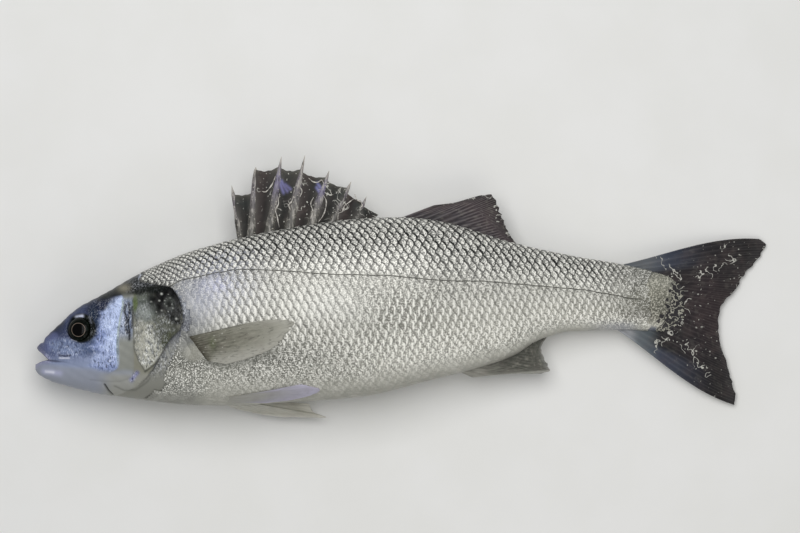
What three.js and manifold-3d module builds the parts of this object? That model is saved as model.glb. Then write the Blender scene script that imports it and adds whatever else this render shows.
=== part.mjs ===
// A whole European sea bass lying on its right flank: head towards -X, back towards +Y, left flank up.
// Body, jaws, gill covers and fins are one solid, and the two eyes are balls of their own in their sockets.
// Places along and across the fish are shares of its total length in per cent, the way fish are measured:
// the first number runs from the tip of the lower jaw to the tail, the second from the fish's axis to its back.
// Thicknesses and clearances are in millimetres.

import * as THREE from "three";
import { mergeVertices } from "three/addons/utils/BufferGeometryUtils.js";
import Module from "manifold-3d";

const wasm = await Module();
wasm.setup();

// ---- Driving dimensions ----

const TOTAL_LENGTH = 450;

const BODY_END = 89.5; // the flesh ends here, under the tail fin's rays
const BODY_STATIONS = 52; // rings of the body's loft
const BODY_SIDES = 32; // points on a ring
const RINGS_TO_HEAD = 1.35; // above 1, the rings stand closer together on the head
const HEAD_START = 0.1; // the raised plates of the head lie between these two places
const HEAD_END = 22;
const HEAD_STATIONS = 24;
const CUT_FROM = -10; // cuts through the whole thickness run between these two heights
const CUT_TO = 70;

// The outline of the back and of the belly, without the fins.
const BACK = [
  [0, -9.0], [0.8, -7.3], [3.3, -5.1], [6.0, -2.8], [8.7, -1.4], [14.9, 2.1], [22.4, 5.1], [33.9, 7.8],
  [44.3, 9.2], [50.1, 9.4], [54.8, 8.9], [65.3, 5.9], [73.0, 4.2], [80.5, 2.9], [85.9, 1.6], [89.5, -0.6],
];
const BELLY = [
  [0, -11.8], [0.8, -12.4], [3.3, -13.4], [11.5, -15.1], [19.5, -16.0], [25.0, -16.2], [33.9, -15.8],
  [44.3, -15.0], [54.8, -12.5], [60.1, -11.2], [65.3, -9.4], [68.9, -7.2], [73.0, -6.1], [80.5, -5.9],
  [85.9, -6.2], [89.5, -3.8],
];
// Half of the body's thickness, and where between belly (0) and back (1) it is thickest.
const HALF_WIDTH = [
  [0, 0.45], [0.8, 1.35], [3.3, 2.44], [5.7, 3.22], [11.5, 4.89], [17.6, 5.9], [29.2, 6.56], [36.1, 6.56],
  [49.7, 6.0], [60.0, 4.78], [70.2, 3.22], [80.1, 2.04], [85.9, 1.35], [89.5, 0.5],
];
const WIDEST_AT = [[0, 0.45], [10, 0.5], [25, 0.55], [60, 0.55], [80, 0.5], [90, 0.5]];
// 1 is an ellipse; less is a boxier section, as on the head.
const ROUNDNESS = [[0, 0.75], [8, 0.85], [20, 0.95], [40, 1], [90, 1]];
// Height of the fish's own middle plane over the slab: the tail hangs down to it behind the thick trunk.
const MIDDLE_HEIGHT = [
  [0, 4.8], [20, 5.7], [35, 6.1], [50, 6.1], [60, 5.1], [70, 3.7], [80, 2.5], [88, 1.6], [95, 0.8], [100, 0.4],
];

// Plates of the head that stand proud of it, by their outline and their height in millimetres.
const GILL_COVER = {
  height: 1.3,
  outline: [
    [13.5, -3.3], [13.6, -8.4], [14.2, -10.0], [15.1, -11.4], [16.5, -10.3], [17.6, -8.9], [18.4, -7.1],
    [19.9, -5.5], [20.2, -4.2], [19.6, -3.4], [19.5, -2.6], [18.5, -0.9], [16.8, 0.1], [15.0, 0.2],
  ],
};
const CHEEK = {
  height: 0.8,
  outline: [[8.6, -1.9], [12.0, -1.3], [12.2, -2.3], [11.5, -6.3], [11.5, -10.2], [9.6, -11.6], [7.6, -9.9]],
};
const UPPER_JAW = {
  height: 0.7,
  outline: [
    [0.4, -7.6], [0.3, -8.5], [1.0, -9.2], [1.8, -10.0], [4.2, -10.3], [6.6, -11.0], [7.1, -10.2], [5.8, -9.2],
    [3.4, -8.7], [1.6, -7.9],
  ],
};
// The open notch between the lips, seen from the flank.
const MOUTH = [[-1, -7.4], [0.25, -8.5], [1.0, -9.2], [1.75, -10.05], [0.8, -10.25], [-1, -11.1]];

const EYE = { at: [5.95, -5.75], radius: 8.0, depth: 4.5, bulge: 2.0 };
const EYE_SIDES = 22; // round the way that it looks
const EYE_RINGS = 14;
const SOCKET_GAP = 0.3;

// Spines of the first dorsal fin: root, free tip, and how far up the spine the skin before and behind it goes.
const DORSAL_SPINES = [
  { root: [28.0, 6.8], tip: [26.8, 13.8], before: 0, behind: 0.83 },
  { root: [29.5, 7.3], tip: [30.1, 16.3], before: 0.62, behind: 0.96 },
  { root: [32.0, 7.7], tip: [33.6, 17.75], before: 0.87, behind: 0.85 },
  { root: [34.7, 8.1], tip: [36.8, 17.95], before: 0.81, behind: 0.77 },
  { root: [37.7, 8.5], tip: [40.1, 15.8], before: 0.88, behind: 0.83 },
  { root: [40.6, 8.8], tip: [43.1, 14.3], before: 0.85, behind: 0.74 },
  { root: [43.9, 9.2], tip: [45.2, 12.3], before: 0.7, behind: 0.6 },
];
const DORSAL_WEB_END = { root: [46.3, 9.2], tip: [46.8, 9.8], before: 1 };
const SPINE_ROOT_RADIUS = 2.1;
const SPINE_TIP_RADIUS = 0.5;
const SPINE_SIDES = 7;
const SPINE_WEB = 1.1; // thickness of the skin between the spines
const DORSAL_DROOP = 3; // how much lower than the middle plane the spines' tips lie
const WEB_DROOP = 2.4;

// Soft fins: the curve that the rays grow from, the curve of their tips, and how many there are. A lean under 1
// sweeps the rays in the middle back, towards the tips' end.
const SECOND_DORSAL = {
  root: [[49.4, 9.2], [56.4, 8.1], [65.0, 5.6]],
  tip: [[54.4, 11.1], [57.3, 11.5], [61.0, 12.5], [62.6, 12.5], [63.5, 10.4], [64.6, 7.5], [65.6, 5.9]],
  rays: 13,
  lean: 0.7,
};
const ANAL_FIN = {
  root: [[57.8, -11.6], [64.0, -9.2], [69.4, -6.6]],
  tip: [[59.6, -12.4], [65.0, -11.95], [70.3, -11.55], [69.6, -9.9], [69.1, -8.3], [70.1, -6.6]],
  rays: 11,
};
const TAIL_FIN = {
  root: [[79.2, 2.8], [84.0, 1.2], [86.2, -1.9], [84.0, -5.0], [79.4, -5.9]],
  tip: [
    [100, 6.3], [99.5, 5.0], [98.5, 3.3], [97.3, 2.0], [96.3, 0.5], [95.8, -0.5], [94.4, -1.8], [93.6, -3.2],
    [93.4, -5.3], [93.7, -8.0], [94.4, -10.0], [95.2, -12.8], [95.8, -15.5], [95.5, -16.2],
  ],
  rays: 17,
  bow: 3.6, // how far the outermost rays bend out
};
const PECTORAL_FIN = {
  root: [[21.6, -6.5], [22.3, -8.2], [23.6, -10.0]],
  tip: [[29.5, -4.8], [33.7, -4.4], [35.6, -4.8], [34.7, -6.3], [32.8, -8.3], [29.2, -9.8], [26.2, -10.6]],
  rays: 15,
};
const PELVIC_FIN_UP = {
  root: [[26.4, -15.0], [26.2, -15.8]],
  tip: [[33.3, -14.2], [36.8, -13.3], [39.1, -14.2], [36.0, -15.3], [31.5, -15.9]],
  rays: 6,
};
const PELVIC_FIN_DOWN = {
  root: [[28.0, -15.4], [25.4, -16.0]],
  tip: [[37.4, -16.0], [38.3, -17.2], [39.9, -17.9], [37.0, -17.95], [32.4, -17.75], [28.0, -16.9]],
  rays: 6,
};
const FIN_ROWS = 4;
const FIN_WEB = 1.2; // thickness of the skin between two rays
const FIN_RIB = 1.1; // what a ray adds to it at the root
const FIN_NOTCH = 0.96; // how far the skin between two rays reaches, as a share of their length
const FIN_DROOP = 2; // how much lower than the middle plane a soft fin's free edge lies
const ROOT_SINK = 3; // how deep a fin's root goes into the body
const SHALLOW_SINK = 1; // and one that lies along the flank or over the tail's base
const PECTORAL_LAYER = { web: 2.2, rib: 0.9, sink: SHALLOW_SINK };
const PELVIC_LAYER = { web: 2.4, rib: 0.9, sink: SHALLOW_SINK };
const PAIRED_LIFT = 0.5; // how far the free edge of an upper paired fin stands off the flank
const PELVIC_ROOT_HEIGHT = 24; // the lower pelvic fin hangs from this height over the slab
const PELVIC_TIP_HEIGHT = 11; // down to this one

// ---- Curves and the body's own form ----

const millimetres = (share) => (share * TOTAL_LENGTH) / 100;
const lengthwise = (share) => millimetres(share - 50);

// A smooth curve through [place, value] points that never swings past them (a monotone cubic).
function profile(points) {
  const slopes = points.slice(1).map(([x, y], i) => (y - points[i][1]) / (x - points[i][0]));
  const tangents = points.map((_, i) => {
    const before = slopes[Math.max(i - 1, 0)];
    const after = slopes[Math.min(i, slopes.length - 1)];
    return before * after <= 0 ? 0 : (2 * before * after) / (before + after);
  });
  return (x) => {
    let i = 0;
    while (i < points.length - 2 && x > points[i + 1][0]) i++;
    const [x0, y0] = points[i];
    const [x1, y1] = points[i + 1];
    const span = x1 - x0;
    const t = THREE.MathUtils.clamp((x - x0) / span, 0, 1);
    const rise = t * t * (3 - 2 * t);
    const leaving = t * (1 - t) ** 2 * span * tangents[i];
    const arriving = t * t * (t - 1) * span * tangents[i + 1];
    return THREE.MathUtils.lerp(y0, y1, rise) + leaving + arriving;
  };
}

const back = profile(BACK);
const belly = profile(BELLY);
const halfWidth = profile(HALF_WIDTH);
const widestAt = profile(WIDEST_AT);
const roundness = profile(ROUNDNESS);
const middleHeight = profile(MIDDLE_HEIGHT);
const middleAt = (share) => millimetres(middleHeight(share));

// The body's section at one place, in millimetres, swollen by grow.
function section(share, grow = 0) {
  const top = millimetres(back(share));
  const bottom = millimetres(belly(share));
  const widest = THREE.MathUtils.lerp(bottom, top, widestAt(share));
  return {
    widest,
    up: top - widest + grow,
    down: widest - bottom + grow,
    half: millimetres(halfWidth(share)) + grow,
    power: roundness(share),
  };
}

// Half of the body's thickness at one place along it and one height across it.
function flankDepth(share, height) {
  const s = section(share);
  const across = height - s.widest;
  const q = Math.min(Math.abs(across) / (across > 0 ? s.up : s.down), 1);
  return s.half * (1 - q * q) ** (s.power / 2);
}

// ---- Closed meshes and solids ----

function geometryOf(vertices, triangles) {
  const geometry = new THREE.BufferGeometry();
  geometry.setAttribute("position", new THREE.Float32BufferAttribute(vertices.flat(), 3));
  geometry.setIndex(triangles.flat());
  return geometry;
}

function solidOf(geometry) {
  const bare = geometry.clone();
  bare.deleteAttribute("normal");
  bare.deleteAttribute("uv");
  const merged = mergeVertices(bare);
  return new wasm.Manifold(
    new wasm.Mesh({
      numProp: 3,
      vertProperties: new Float32Array(merged.attributes.position.array),
      triVerts: new Uint32Array(merged.index.array),
    }),
  );
}

function geometryOfSolid(solid) {
  const mesh = solid.getMesh();
  const geometry = new THREE.BufferGeometry();
  geometry.setAttribute("position", new THREE.BufferAttribute(mesh.vertProperties, 3));
  geometry.setIndex(new THREE.BufferAttribute(mesh.triVerts, 1));
  const faceted = geometry.toNonIndexed();
  faceted.computeVertexNormals();
  return faceted;
}

// The body between two places, as rings of the section joined one to the next. What would be under the slab
// is pressed flat on it.
function loft(from, to, stations, sides, grow) {
  const vertices = [];
  const triangles = [];
  for (let i = 0; i <= stations; i++) {
    const t = i / stations;
    const share = from + (to - from) * t ** RINGS_TO_HEAD;
    const s = section(share, grow);
    for (let j = 0; j < sides; j++) {
      const angle = (2 * Math.PI * j) / sides;
      const across = Math.cos(angle);
      const height = s.widest + (Math.sin(angle) > 0 ? s.up : s.down) * Math.sin(angle);
      const depth = s.half * Math.sign(across) * Math.abs(across) ** s.power;
      vertices.push([lengthwise(share), height, Math.max(middleAt(share) + depth, 0)]);
    }
  }
  const ring = (i, j) => i * sides + (j % sides);
  for (let i = 0; i < stations; i++) {
    for (let j = 0; j < sides; j++) {
      triangles.push([ring(i, j), ring(i + 1, j + 1), ring(i, j + 1)]);
      triangles.push([ring(i, j), ring(i + 1, j), ring(i + 1, j + 1)]);
    }
  }
  for (const [i, end] of [[0, from], [stations, to]]) {
    const centre = vertices.length;
    vertices.push([lengthwise(end), section(end).widest, middleAt(end)]);
    for (let j = 0; j < sides; j++) {
      triangles.push(i ? [ring(i, j + 1), ring(i, j), centre] : [ring(i, j), ring(i, j + 1), centre]);
    }
  }
  return solidOf(geometryOf(vertices, triangles));
}

// A prism through the whole thickness of the fish on a closed outline.
function prism(outline) {
  const shape = new THREE.Shape(outline.map(([x, y]) => new THREE.Vector2(lengthwise(x), millimetres(y))));
  const geometry = new THREE.ExtrudeGeometry(shape, { depth: CUT_TO - CUT_FROM, bevelEnabled: false });
  return solidOf(geometry.translate(0, 0, CUT_FROM));
}

// A raised plate on both sides of the head: the head swollen by the plate's height, inside its outline.
function headPlate({ outline, height }) {
  return loft(HEAD_START, HEAD_END, HEAD_STATIONS, BODY_SIDES, height).intersect(prism(outline));
}

// ---- Fins ----

const pointAt = ([x, y]) => new THREE.Vector3(lengthwise(x), millimetres(y), 0);
const curveThrough = (points) => new THREE.CatmullRomCurve3(points.map(pointAt), false, "centripetal");

// The rays of a fin, evenly spaced at their roots. The first bends one way by bow, the last the other way, and
// those between them less and less.
function raysOf({ root, tip, rays, bow = 0, lean = 1 }) {
  const roots = curveThrough(root);
  const tips = curveThrough(tip);
  return Array.from({ length: rays }, (_, i) => {
    const along = i / (rays - 1);
    const side = 1 - 2 * along;
    return {
      root: roots.getPointAt(along),
      tip: tips.getPointAt(along ** lean),
      bow: bow * side * Math.abs(side) ** 3,
    };
  });
}

// How far a bowed ray stands aside at v: nothing at its ends, and the whole bow two thirds of the way out.
const bend = (bow, v) => bow * 6.75 * v * v * (1 - v);

// A fin is a sheet that is thickest on each ray and thinnest half way to the next. Its columns are the rays
// and the skin between them, its rows go from root to tip. height(point, v) is how high its middle lies.
function fin(rays, { height, notch = FIN_NOTCH, web = FIN_WEB, rib = FIN_RIB, sink = ROOT_SINK }) {
  const columns = [];
  rays.forEach((ray, i) => {
    if (i) {
      const last = rays[i - 1];
      const root = last.root.clone().lerp(ray.root, 0.5);
      const tip = last.tip.clone().lerp(ray.tip, 0.5);
      const bow = ((last.bow ?? 0) + (ray.bow ?? 0)) / 2;
      columns.push({ root, tip: root.clone().lerp(tip, notch), bow, ridge: 0 });
    }
    columns.push({ bow: 0, ...ray, ridge: 1 });
  });
  const faces = [[], []];
  for (const { root, tip, bow, ridge } of columns) {
    const along = tip.clone().sub(root).normalize();
    const aside = new THREE.Vector3(-along.y, along.x, 0);
    const start = root.clone().addScaledVector(along, -sink);
    for (let j = 0; j <= FIN_ROWS; j++) {
      const v = j / FIN_ROWS;
      const point = start.clone().lerp(tip, v).addScaledVector(aside, bend(bow, v));
      const thick = web + rib * ridge * (1 - 0.6 * v);
      const low = Math.max(height(point, v) - thick / 2, 0);
      faces[0].push([point.x, point.y, low]);
      faces[1].push([point.x, point.y, low + thick]);
    }
  }
  const rows = FIN_ROWS + 1;
  const count = columns.length * rows;
  const triangles = [];
  const quad = (a, b, c, d) => triangles.push([a, b, c], [a, c, d]);
  for (let i = 0; i + 1 < columns.length; i++) {
    for (let j = 0; j < FIN_ROWS; j++) {
      const a = i * rows + j;
      quad(a, a + 1, a + rows + 1, a + rows);
      quad(count + a, count + a + rows, count + a + rows + 1, count + a + 1);
    }
    const foot = i * rows;
    const end = foot + FIN_ROWS;
    quad(foot, foot + rows, count + foot + rows, count + foot);
    quad(end, count + end, count + end + rows, end + rows);
  }
  const far = (columns.length - 1) * rows;
  for (let j = 0; j < FIN_ROWS; j++) {
    quad(j, count + j, count + j + 1, j + 1);
    quad(far + j, far + j + 1, count + far + j + 1, count + far + j);
  }
  // Rays counted the other way round the fish make the sheet inside out, so its faces are turned.
  const solid = solidOf(geometryOf(faces.flat(), triangles));
  return solid.volume() > 0 ? solid : solidOf(geometryOf(faces.flat(), triangles.map((t) => t.reverse())));
}

// The share of the total length that a point of a fin lies at.
const shareAt = (point) => (point.x * 100) / TOTAL_LENGTH + 50;

// Fins of the middle plane sink a little towards the slab at their free edge.
const onMiddlePlane = (droop) => (point, v) => middleAt(shareAt(point)) - droop * v * v;

// Paired fins lie along the flank, on the upper side (+1) or on the lower side (-1) of the fish.
const alongFlank = (side, lift) => (point, v) => {
  const share = shareAt(point);
  return middleAt(share) + side * (flankDepth(share, point.y) + lift * v);
};

// The lower pelvic fin hangs from the belly's edge towards the slab.
const hangingBelow = (start, end) => (point, v) => THREE.MathUtils.lerp(start, end, v);

function spine({ root, tip }) {
  const foot = pointAt(root);
  const point = pointAt(tip);
  foot.addScaledVector(point.clone().sub(foot).normalize(), -ROOT_SINK);
  foot.z = middleAt(root[0]);
  point.z = middleAt(tip[0]) - DORSAL_DROOP;
  const rise = point.clone().sub(foot);
  const geometry = new THREE.CylinderGeometry(SPINE_TIP_RADIUS, SPINE_ROOT_RADIUS, rise.length(), SPINE_SIDES);
  const turn = new THREE.Quaternion().setFromUnitVectors(new THREE.Vector3(0, 1, 0), rise.clone().normalize());
  const middle = foot.lerp(point, 0.5);
  return solidOf(geometry.applyMatrix4(new THREE.Matrix4().compose(middle, turn, new THREE.Vector3(1, 1, 1))));
}

// The skin between one spine and the next, from as far up the first as it reaches behind it to as far up the
// second as it reaches before it.
function spineWeb(one, next) {
  const edge = ({ root, tip }, reach) => ({
    root: pointAt(root),
    tip: pointAt(root).lerp(pointAt(tip), reach),
  });
  return fin([edge(one, one.behind), edge(next, next.before)],
    { height: onMiddlePlane(WEB_DROOP), rib: 0, web: SPINE_WEB });
}

function firstDorsalFin() {
  const spines = DORSAL_SPINES.map(spine);
  const webs = DORSAL_SPINES.map((one, i) => spineWeb(one, DORSAL_SPINES[i + 1] ?? DORSAL_WEB_END));
  return [...spines, ...webs].reduce((whole, one) => whole.add(one));
}

// ---- Eyes ----

// Where an eye's ball sits and the way that it looks, on the upper (+1) or the lower (-1) side of the head.
function eyePlace(side) {
  const [share, heightShare] = EYE.at;
  const height = millimetres(heightShare);
  const step = 1;
  const stepShare = (100 * step) / TOTAL_LENGTH;
  const depth = flankDepth(share, height);
  const alongSlope = flankDepth(share + stepShare, height) - flankDepth(share - stepShare, height);
  const acrossSlope = flankDepth(share, height + step) - flankDepth(share, height - step);
  const looks = new THREE.Vector3(-alongSlope / (2 * step), -acrossSlope / (2 * step), side).normalize();
  const surface = new THREE.Vector3(lengthwise(share), height, middleAt(share) + side * depth);
  return {
    position: surface.addScaledVector(looks, EYE.bulge - EYE.depth),
    quaternion: new THREE.Quaternion().setFromUnitVectors(new THREE.Vector3(0, 0, 1), looks),
  };
}

const eyeBall = (gap) => new THREE.SphereGeometry(1, EYE_SIDES, EYE_RINGS)
  .rotateX(Math.PI / 2)
  .scale(EYE.radius + gap, EYE.radius + gap, EYE.depth + gap);

function socket(side) {
  const { position, quaternion } = eyePlace(side);
  const place = new THREE.Matrix4().compose(position, quaternion, new THREE.Vector3(1, 1, 1));
  return solidOf(eyeBall(SOCKET_GAP).applyMatrix4(place));
}

// ---- The whole fish ----

function fishSolid() {
  const joined = [
    headPlate(GILL_COVER),
    headPlate(CHEEK),
    headPlate(UPPER_JAW),
    firstDorsalFin(),
    fin(raysOf(SECOND_DORSAL), { height: onMiddlePlane(FIN_DROOP) }),
    fin(raysOf(ANAL_FIN), { height: onMiddlePlane(FIN_DROOP) }),
    fin(raysOf(TAIL_FIN), { height: onMiddlePlane(0), sink: SHALLOW_SINK }),
    fin(raysOf(PECTORAL_FIN), { height: alongFlank(1, PAIRED_LIFT), ...PECTORAL_LAYER }),
    fin(raysOf(PECTORAL_FIN), { height: alongFlank(-1, 0), ...PECTORAL_LAYER }),
    fin(raysOf(PELVIC_FIN_UP), { height: alongFlank(1, PAIRED_LIFT), ...PELVIC_LAYER }),
    fin(raysOf(PELVIC_FIN_DOWN), { height: hangingBelow(PELVIC_ROOT_HEIGHT, PELVIC_TIP_HEIGHT) }),
  ];
  const body = loft(0, BODY_END, BODY_STATIONS, BODY_SIDES, 0);
  const whole = joined.reduce((fused, piece) => fused.add(piece), body);
  return whole.subtract(prism(MOUTH)).subtract(socket(1)).subtract(socket(-1));
}

const skin = new THREE.MeshStandardMaterial({ color: 0xb9bab4, roughness: 0.35, metalness: 0.25 });
const eye = new THREE.MeshStandardMaterial({ color: 0x191512, roughness: 0.08, metalness: 0 });

const seaBass = new THREE.Group();

const fish = new THREE.Mesh(geometryOfSolid(fishSolid()), skin);
fish.name = "fish";
seaBass.add(fish);

for (const [name, side] of [["eye_left", 1], ["eye_right", -1]]) {
  const ball = new THREE.Mesh(eyeBall(0), eye);
  const { position, quaternion } = eyePlace(side);
  ball.name = name;
  ball.position.copy(position);
  ball.quaternion.copy(quaternion);
  seaBass.add(ball);
}

export default seaBass;
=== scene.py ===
"""Looks of a whole European sea bass that lies on its right flank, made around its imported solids.

Lengths are worked out in millimetres and go into the meshes in metres. Places along and across the fish are
shares of its total length in per cent: `share` runs from the lower jaw's tip to the tail, `height` from the
fish's axis to its back. Every finished piece sits at the origin, with its place in its mesh.
"""

import functools
import math

import bpy
import numpy as np
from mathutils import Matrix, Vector


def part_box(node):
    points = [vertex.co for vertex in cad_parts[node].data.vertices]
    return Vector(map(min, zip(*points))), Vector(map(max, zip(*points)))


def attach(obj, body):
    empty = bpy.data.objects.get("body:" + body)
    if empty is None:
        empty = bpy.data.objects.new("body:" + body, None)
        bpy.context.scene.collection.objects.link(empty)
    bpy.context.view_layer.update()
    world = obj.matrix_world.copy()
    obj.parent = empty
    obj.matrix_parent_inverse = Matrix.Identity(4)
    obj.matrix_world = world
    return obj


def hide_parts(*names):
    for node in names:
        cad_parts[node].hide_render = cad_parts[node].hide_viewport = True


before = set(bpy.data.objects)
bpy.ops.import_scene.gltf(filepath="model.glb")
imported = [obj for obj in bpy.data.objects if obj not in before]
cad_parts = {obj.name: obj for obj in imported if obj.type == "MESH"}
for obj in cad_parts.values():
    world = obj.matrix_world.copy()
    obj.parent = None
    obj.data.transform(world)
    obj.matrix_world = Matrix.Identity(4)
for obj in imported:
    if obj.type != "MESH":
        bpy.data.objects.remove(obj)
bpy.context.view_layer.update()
fish_low, fish_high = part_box("fish")

METRE = 1000
TOTAL_LENGTH = (fish_high.x - fish_low.x) * METRE
MM = TOTAL_LENGTH / 100  # millimetres in one share

# ---- The body's form, as in the solids ----

BACK = [
    (0, -9), (0.26, -8.3), (0.7, -7.85), (1.1, -7.6), (1.3, -7.08), (1.83, -6.5), (2.49, -5.92), (3.3, -5.15),
    (6, -2.8), (8.7, -1.4), (14.9, 2.1), (22.4, 5.1), (33.9, 7.8),
    (44.3, 9.2), (50.1, 9.4), (54.8, 8.9), (65.3, 5.9), (73, 4.2), (80.5, 2.9), (85.9, 1.6), (89.5, -0.6),
]
BELLY = [
    (0, -11.3), (0.3, -11.8), (0.8, -12.2), (1.63, -12.65), (3.3, -13.3), (11.5, -15.1), (19.5, -16),
    (25, -16.2), (33.9, -15.8), (44.3, -15), (54.8, -12.5), (60.1, -11.2), (65.3, -9.4),
    (68.9, -7.2), (73, -6.1), (80.5, -5.9), (85.9, -6.2), (89.5, -3.8),
]
HALF_WIDTH = [
    (0, 0.2), (0.8, 1.35), (3.3, 2.44), (5.7, 3.22), (11.5, 4.89), (17.6, 5.9), (29.2, 6.56), (36.1, 6.56),
    (49.7, 6), (60, 4.78), (70.2, 3.22), (80.1, 2.04), (84.5, 1.25), (87, 0.45), (88.6, 0.12), (92, 0.1),
]
WIDEST_AT = [(0, 0.45), (10, 0.5), (25, 0.55), (60, 0.55), (80, 0.5), (90, 0.5)]
ROUNDNESS = [(0, 0.75), (8, 0.85), (20, 0.95), (40, 1), (90, 1)]
MIDDLE_HEIGHT = [
    (0, 4.8), (20, 5.7), (35, 6.1), (50, 6.1), (60, 5.1), (70, 3.7), (80, 2.5), (88, 1.6), (95, 0.8),
    (100, 0.4),
]
LATERAL_LINE = [
    (12, -1.6), (18.2, -0.1), (20.3, 0.9), (22.3, 1.3), (25.7, 2), (28.5, 2.3), (34.1, 2.1), (40.2, 1.7),
    (48.2, 1.5), (52.2, 1.1), (56.2, 0.8), (61.2, 0.7), (66.2, 0.3), (71.6, -0.2), (74.3, -0.4), (78.6, -1.1),
    (81.9, -1.7), (90, -2.1),
]
# The gill cover's free edge and the nape, where the head's bare skin ends: (height, share), belly to back.
HEAD_EDGE = [
    (-17, 9.5), (-15, 10.5), (-14.5, 12), (-13.6, 13.9), (-12.2, 15.4), (-10.6, 16.5), (-8.7, 17.5),
    (-7.2, 18.5), (-5.5, 20), (-4, 20.3), (-2.9, 20.1), (-1.8, 19.8), (-0.9, 19.3), (-0.3, 18.9),
    (0, 18.4), (0.2, 17), (0.4, 15.4), (0.7, 14.3), (1, 14), (1.9, 14.2), (3.5, 15.2),
]
# How far behind that edge the first scales stand: (height, shares).
BARE_BAND = [
    (-17, 5.5), (-14.5, 4.8), (-13.6, 3.9), (-12.2, 2.7), (-10.6, 2.1), (-8.7, 1.8), (-5.5, 1.5), (-1.5, 1.1),
    (0.2, 0.5), (3.5, 0.3),
]
HEAD_END = 24  # the head's skin goes on this far under the scales
TRUNK_START, TRUNK_END = 21, 88.6
SCALES_END = 84
SKIN_UNDER_SCALES = 0.5  # how deep the skin lies under them, in millimetres
SLAB_GAP = 0.02  # the least height over the slab, in millimetres
ANGLE_SAMPLES = 1801  # angles at which a section's outline is measured


def profile(points):
    """A smooth curve through (place, value) points that never swings past them: a monotone cubic whose slope
    at a point is the harmonic mean of the slopes on its two sides, or 0 where those have different signs."""
    place, value = np.array(points, float).T
    slopes = np.diff(value) / np.diff(place)
    before, after = np.append(slopes[0], slopes), np.append(slopes, slopes[-1])
    same_way = before * after > 0
    tangents = np.where(same_way, 2 * before * after / np.where(same_way, before + after, 1), 0)

    def curve(at):
        at = np.asarray(at, float)
        i = np.clip(np.searchsorted(place, at) - 1, 0, len(place) - 2)
        span = place[i + 1] - place[i]
        t = np.clip((at - place[i]) / span, 0, 1)
        straight = value[i] + (value[i + 1] - value[i]) * t * t * (3 - 2 * t)
        return straight + span * (t * (1 - t) ** 2 * tangents[i] + t * t * (t - 1) * tangents[i + 1])

    return curve


back, belly, half_width = profile(BACK), profile(BELLY), profile(HALF_WIDTH)
widest_at, roundness, middle_height = profile(WIDEST_AT), profile(ROUNDNESS), profile(MIDDLE_HEIGHT)
lateral_line, head_edge, bare_band = profile(LATERAL_LINE), profile(HEAD_EDGE), profile(BARE_BAND)


def lengthwise(share):
    """The x in millimetres at a share of the length."""
    return (share - 50) * MM


def share_of(x):
    """The share of the length at an x in millimetres."""
    return x / MM + 50


def smooth_step(low, high, value):
    """From 0 at low to 1 at high, flat at both ends; low may be the greater one."""
    t = np.clip((value - low) / (high - low), 0, 1)
    return t * t * (3 - 2 * t)


def bump(distance, width):
    """The bell exp(-q * q) of the distance over the width: 1 at 0, about a third at the width."""
    return np.exp(-((distance / width) ** 2))


def together(*arrays):
    """Arrays stretched to one shape and stacked along a new last axis."""
    return np.stack(np.broadcast_arrays(*arrays), -1)


def section(share):
    """Where the body's section is widest, its reach up to the back and down to the belly, half its thickness
    and the power that makes it boxier, at a place along the fish; lengths in millimetres."""
    top, bottom = back(share) * MM, belly(share) * MM
    widest = bottom + (top - bottom) * widest_at(share)
    return widest, top - widest, widest - bottom, half_width(share) * MM, roundness(share)


def skin_point(share, angle):
    """Point of the body's surface, x, y, z in millimetres: the height goes with the sine of the angle and the
    depth with its cosine to the section's power, on each side of the fish's own middle plane. Angle 0 is the
    upper flank, a quarter turn is the back and minus a quarter turn the belly."""
    widest, up, down, half, power = section(share)
    rise, out = np.sin(angle), np.cos(angle)
    y = widest + np.where(rise > 0, up, down) * rise
    z = middle_height(share) * MM + half * np.sign(out) * np.abs(out) ** power
    return together(lengthwise(share), y, z)


def skin_normal(share, angle):
    """The outward direction of the body's surface: along it crossed with round it, by small differences."""
    along = skin_point(share + 0.1, angle) - skin_point(share - 0.1, angle)
    around = skin_point(share, angle + 0.01) - skin_point(share, angle - 0.01)
    normal = np.cross(along, around)
    return normal / np.maximum(np.linalg.norm(normal, axis=-1, keepdims=True), 1e-9)


def flank_depth(share, height_mm):
    """Half of the body's thickness at a place along it and a height across it, in millimetres."""
    widest, up, down, half, power = section(share)
    across = height_mm - widest
    q = np.minimum(np.abs(across) / np.where(across > 0, up, down), 1)
    return half * (1 - q * q) ** (power / 2)


# ---- Colours and meshes ----


def linear(hex_colour):
    """The linear red, green, blue and alpha of an sRGB hex colour."""
    channels = [int(hex_colour[i:i + 2], 16) / 255 for i in (1, 3, 5)]
    return tuple(c / 12.92 if c <= 0.04045 else ((c + 0.055) / 1.055) ** 2.4 for c in channels) + (1,)


def colour_along(value, stops):
    """Colours along a value, straight between (value, hex) stops."""
    places = [place for place, _ in stops]
    colours = np.array([linear(hex_colour)[:3] for _, hex_colour in stops])
    return np.stack([np.interp(value, places, colours[:, channel]) for channel in range(3)], -1)


def blend(colours, others, amount):
    """The colours mixed towards others by an amount for each point."""
    amount = np.clip(amount, 0, 1)[..., None]
    return colours * (1 - amount) + others * amount


def tint(colours, *layers):
    """The colours mixed towards one hex colour after another, each by its amount for each point."""
    for hex_colour, amount in layers:
        colours = blend(colours, np.array(linear(hex_colour)[:3]), amount)
    return colours


def distance_to(line, share, height):
    """Distance in millimetres, over the flank, to a broken line through (share, height) points."""
    nearest = np.full(np.broadcast(share, height).shape, np.inf)
    for (x0, y0), (x1, y1) in zip(line, line[1:]):
        dx, dy = x1 - x0, y1 - y0
        t = np.clip(((share - x0) * dx + (height - y0) * dy) / (dx * dx + dy * dy), 0, 1)
        nearest = np.minimum(nearest, np.hypot(share - x0 - t * dx, height - y0 - t * dy))
    return nearest * MM


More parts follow.
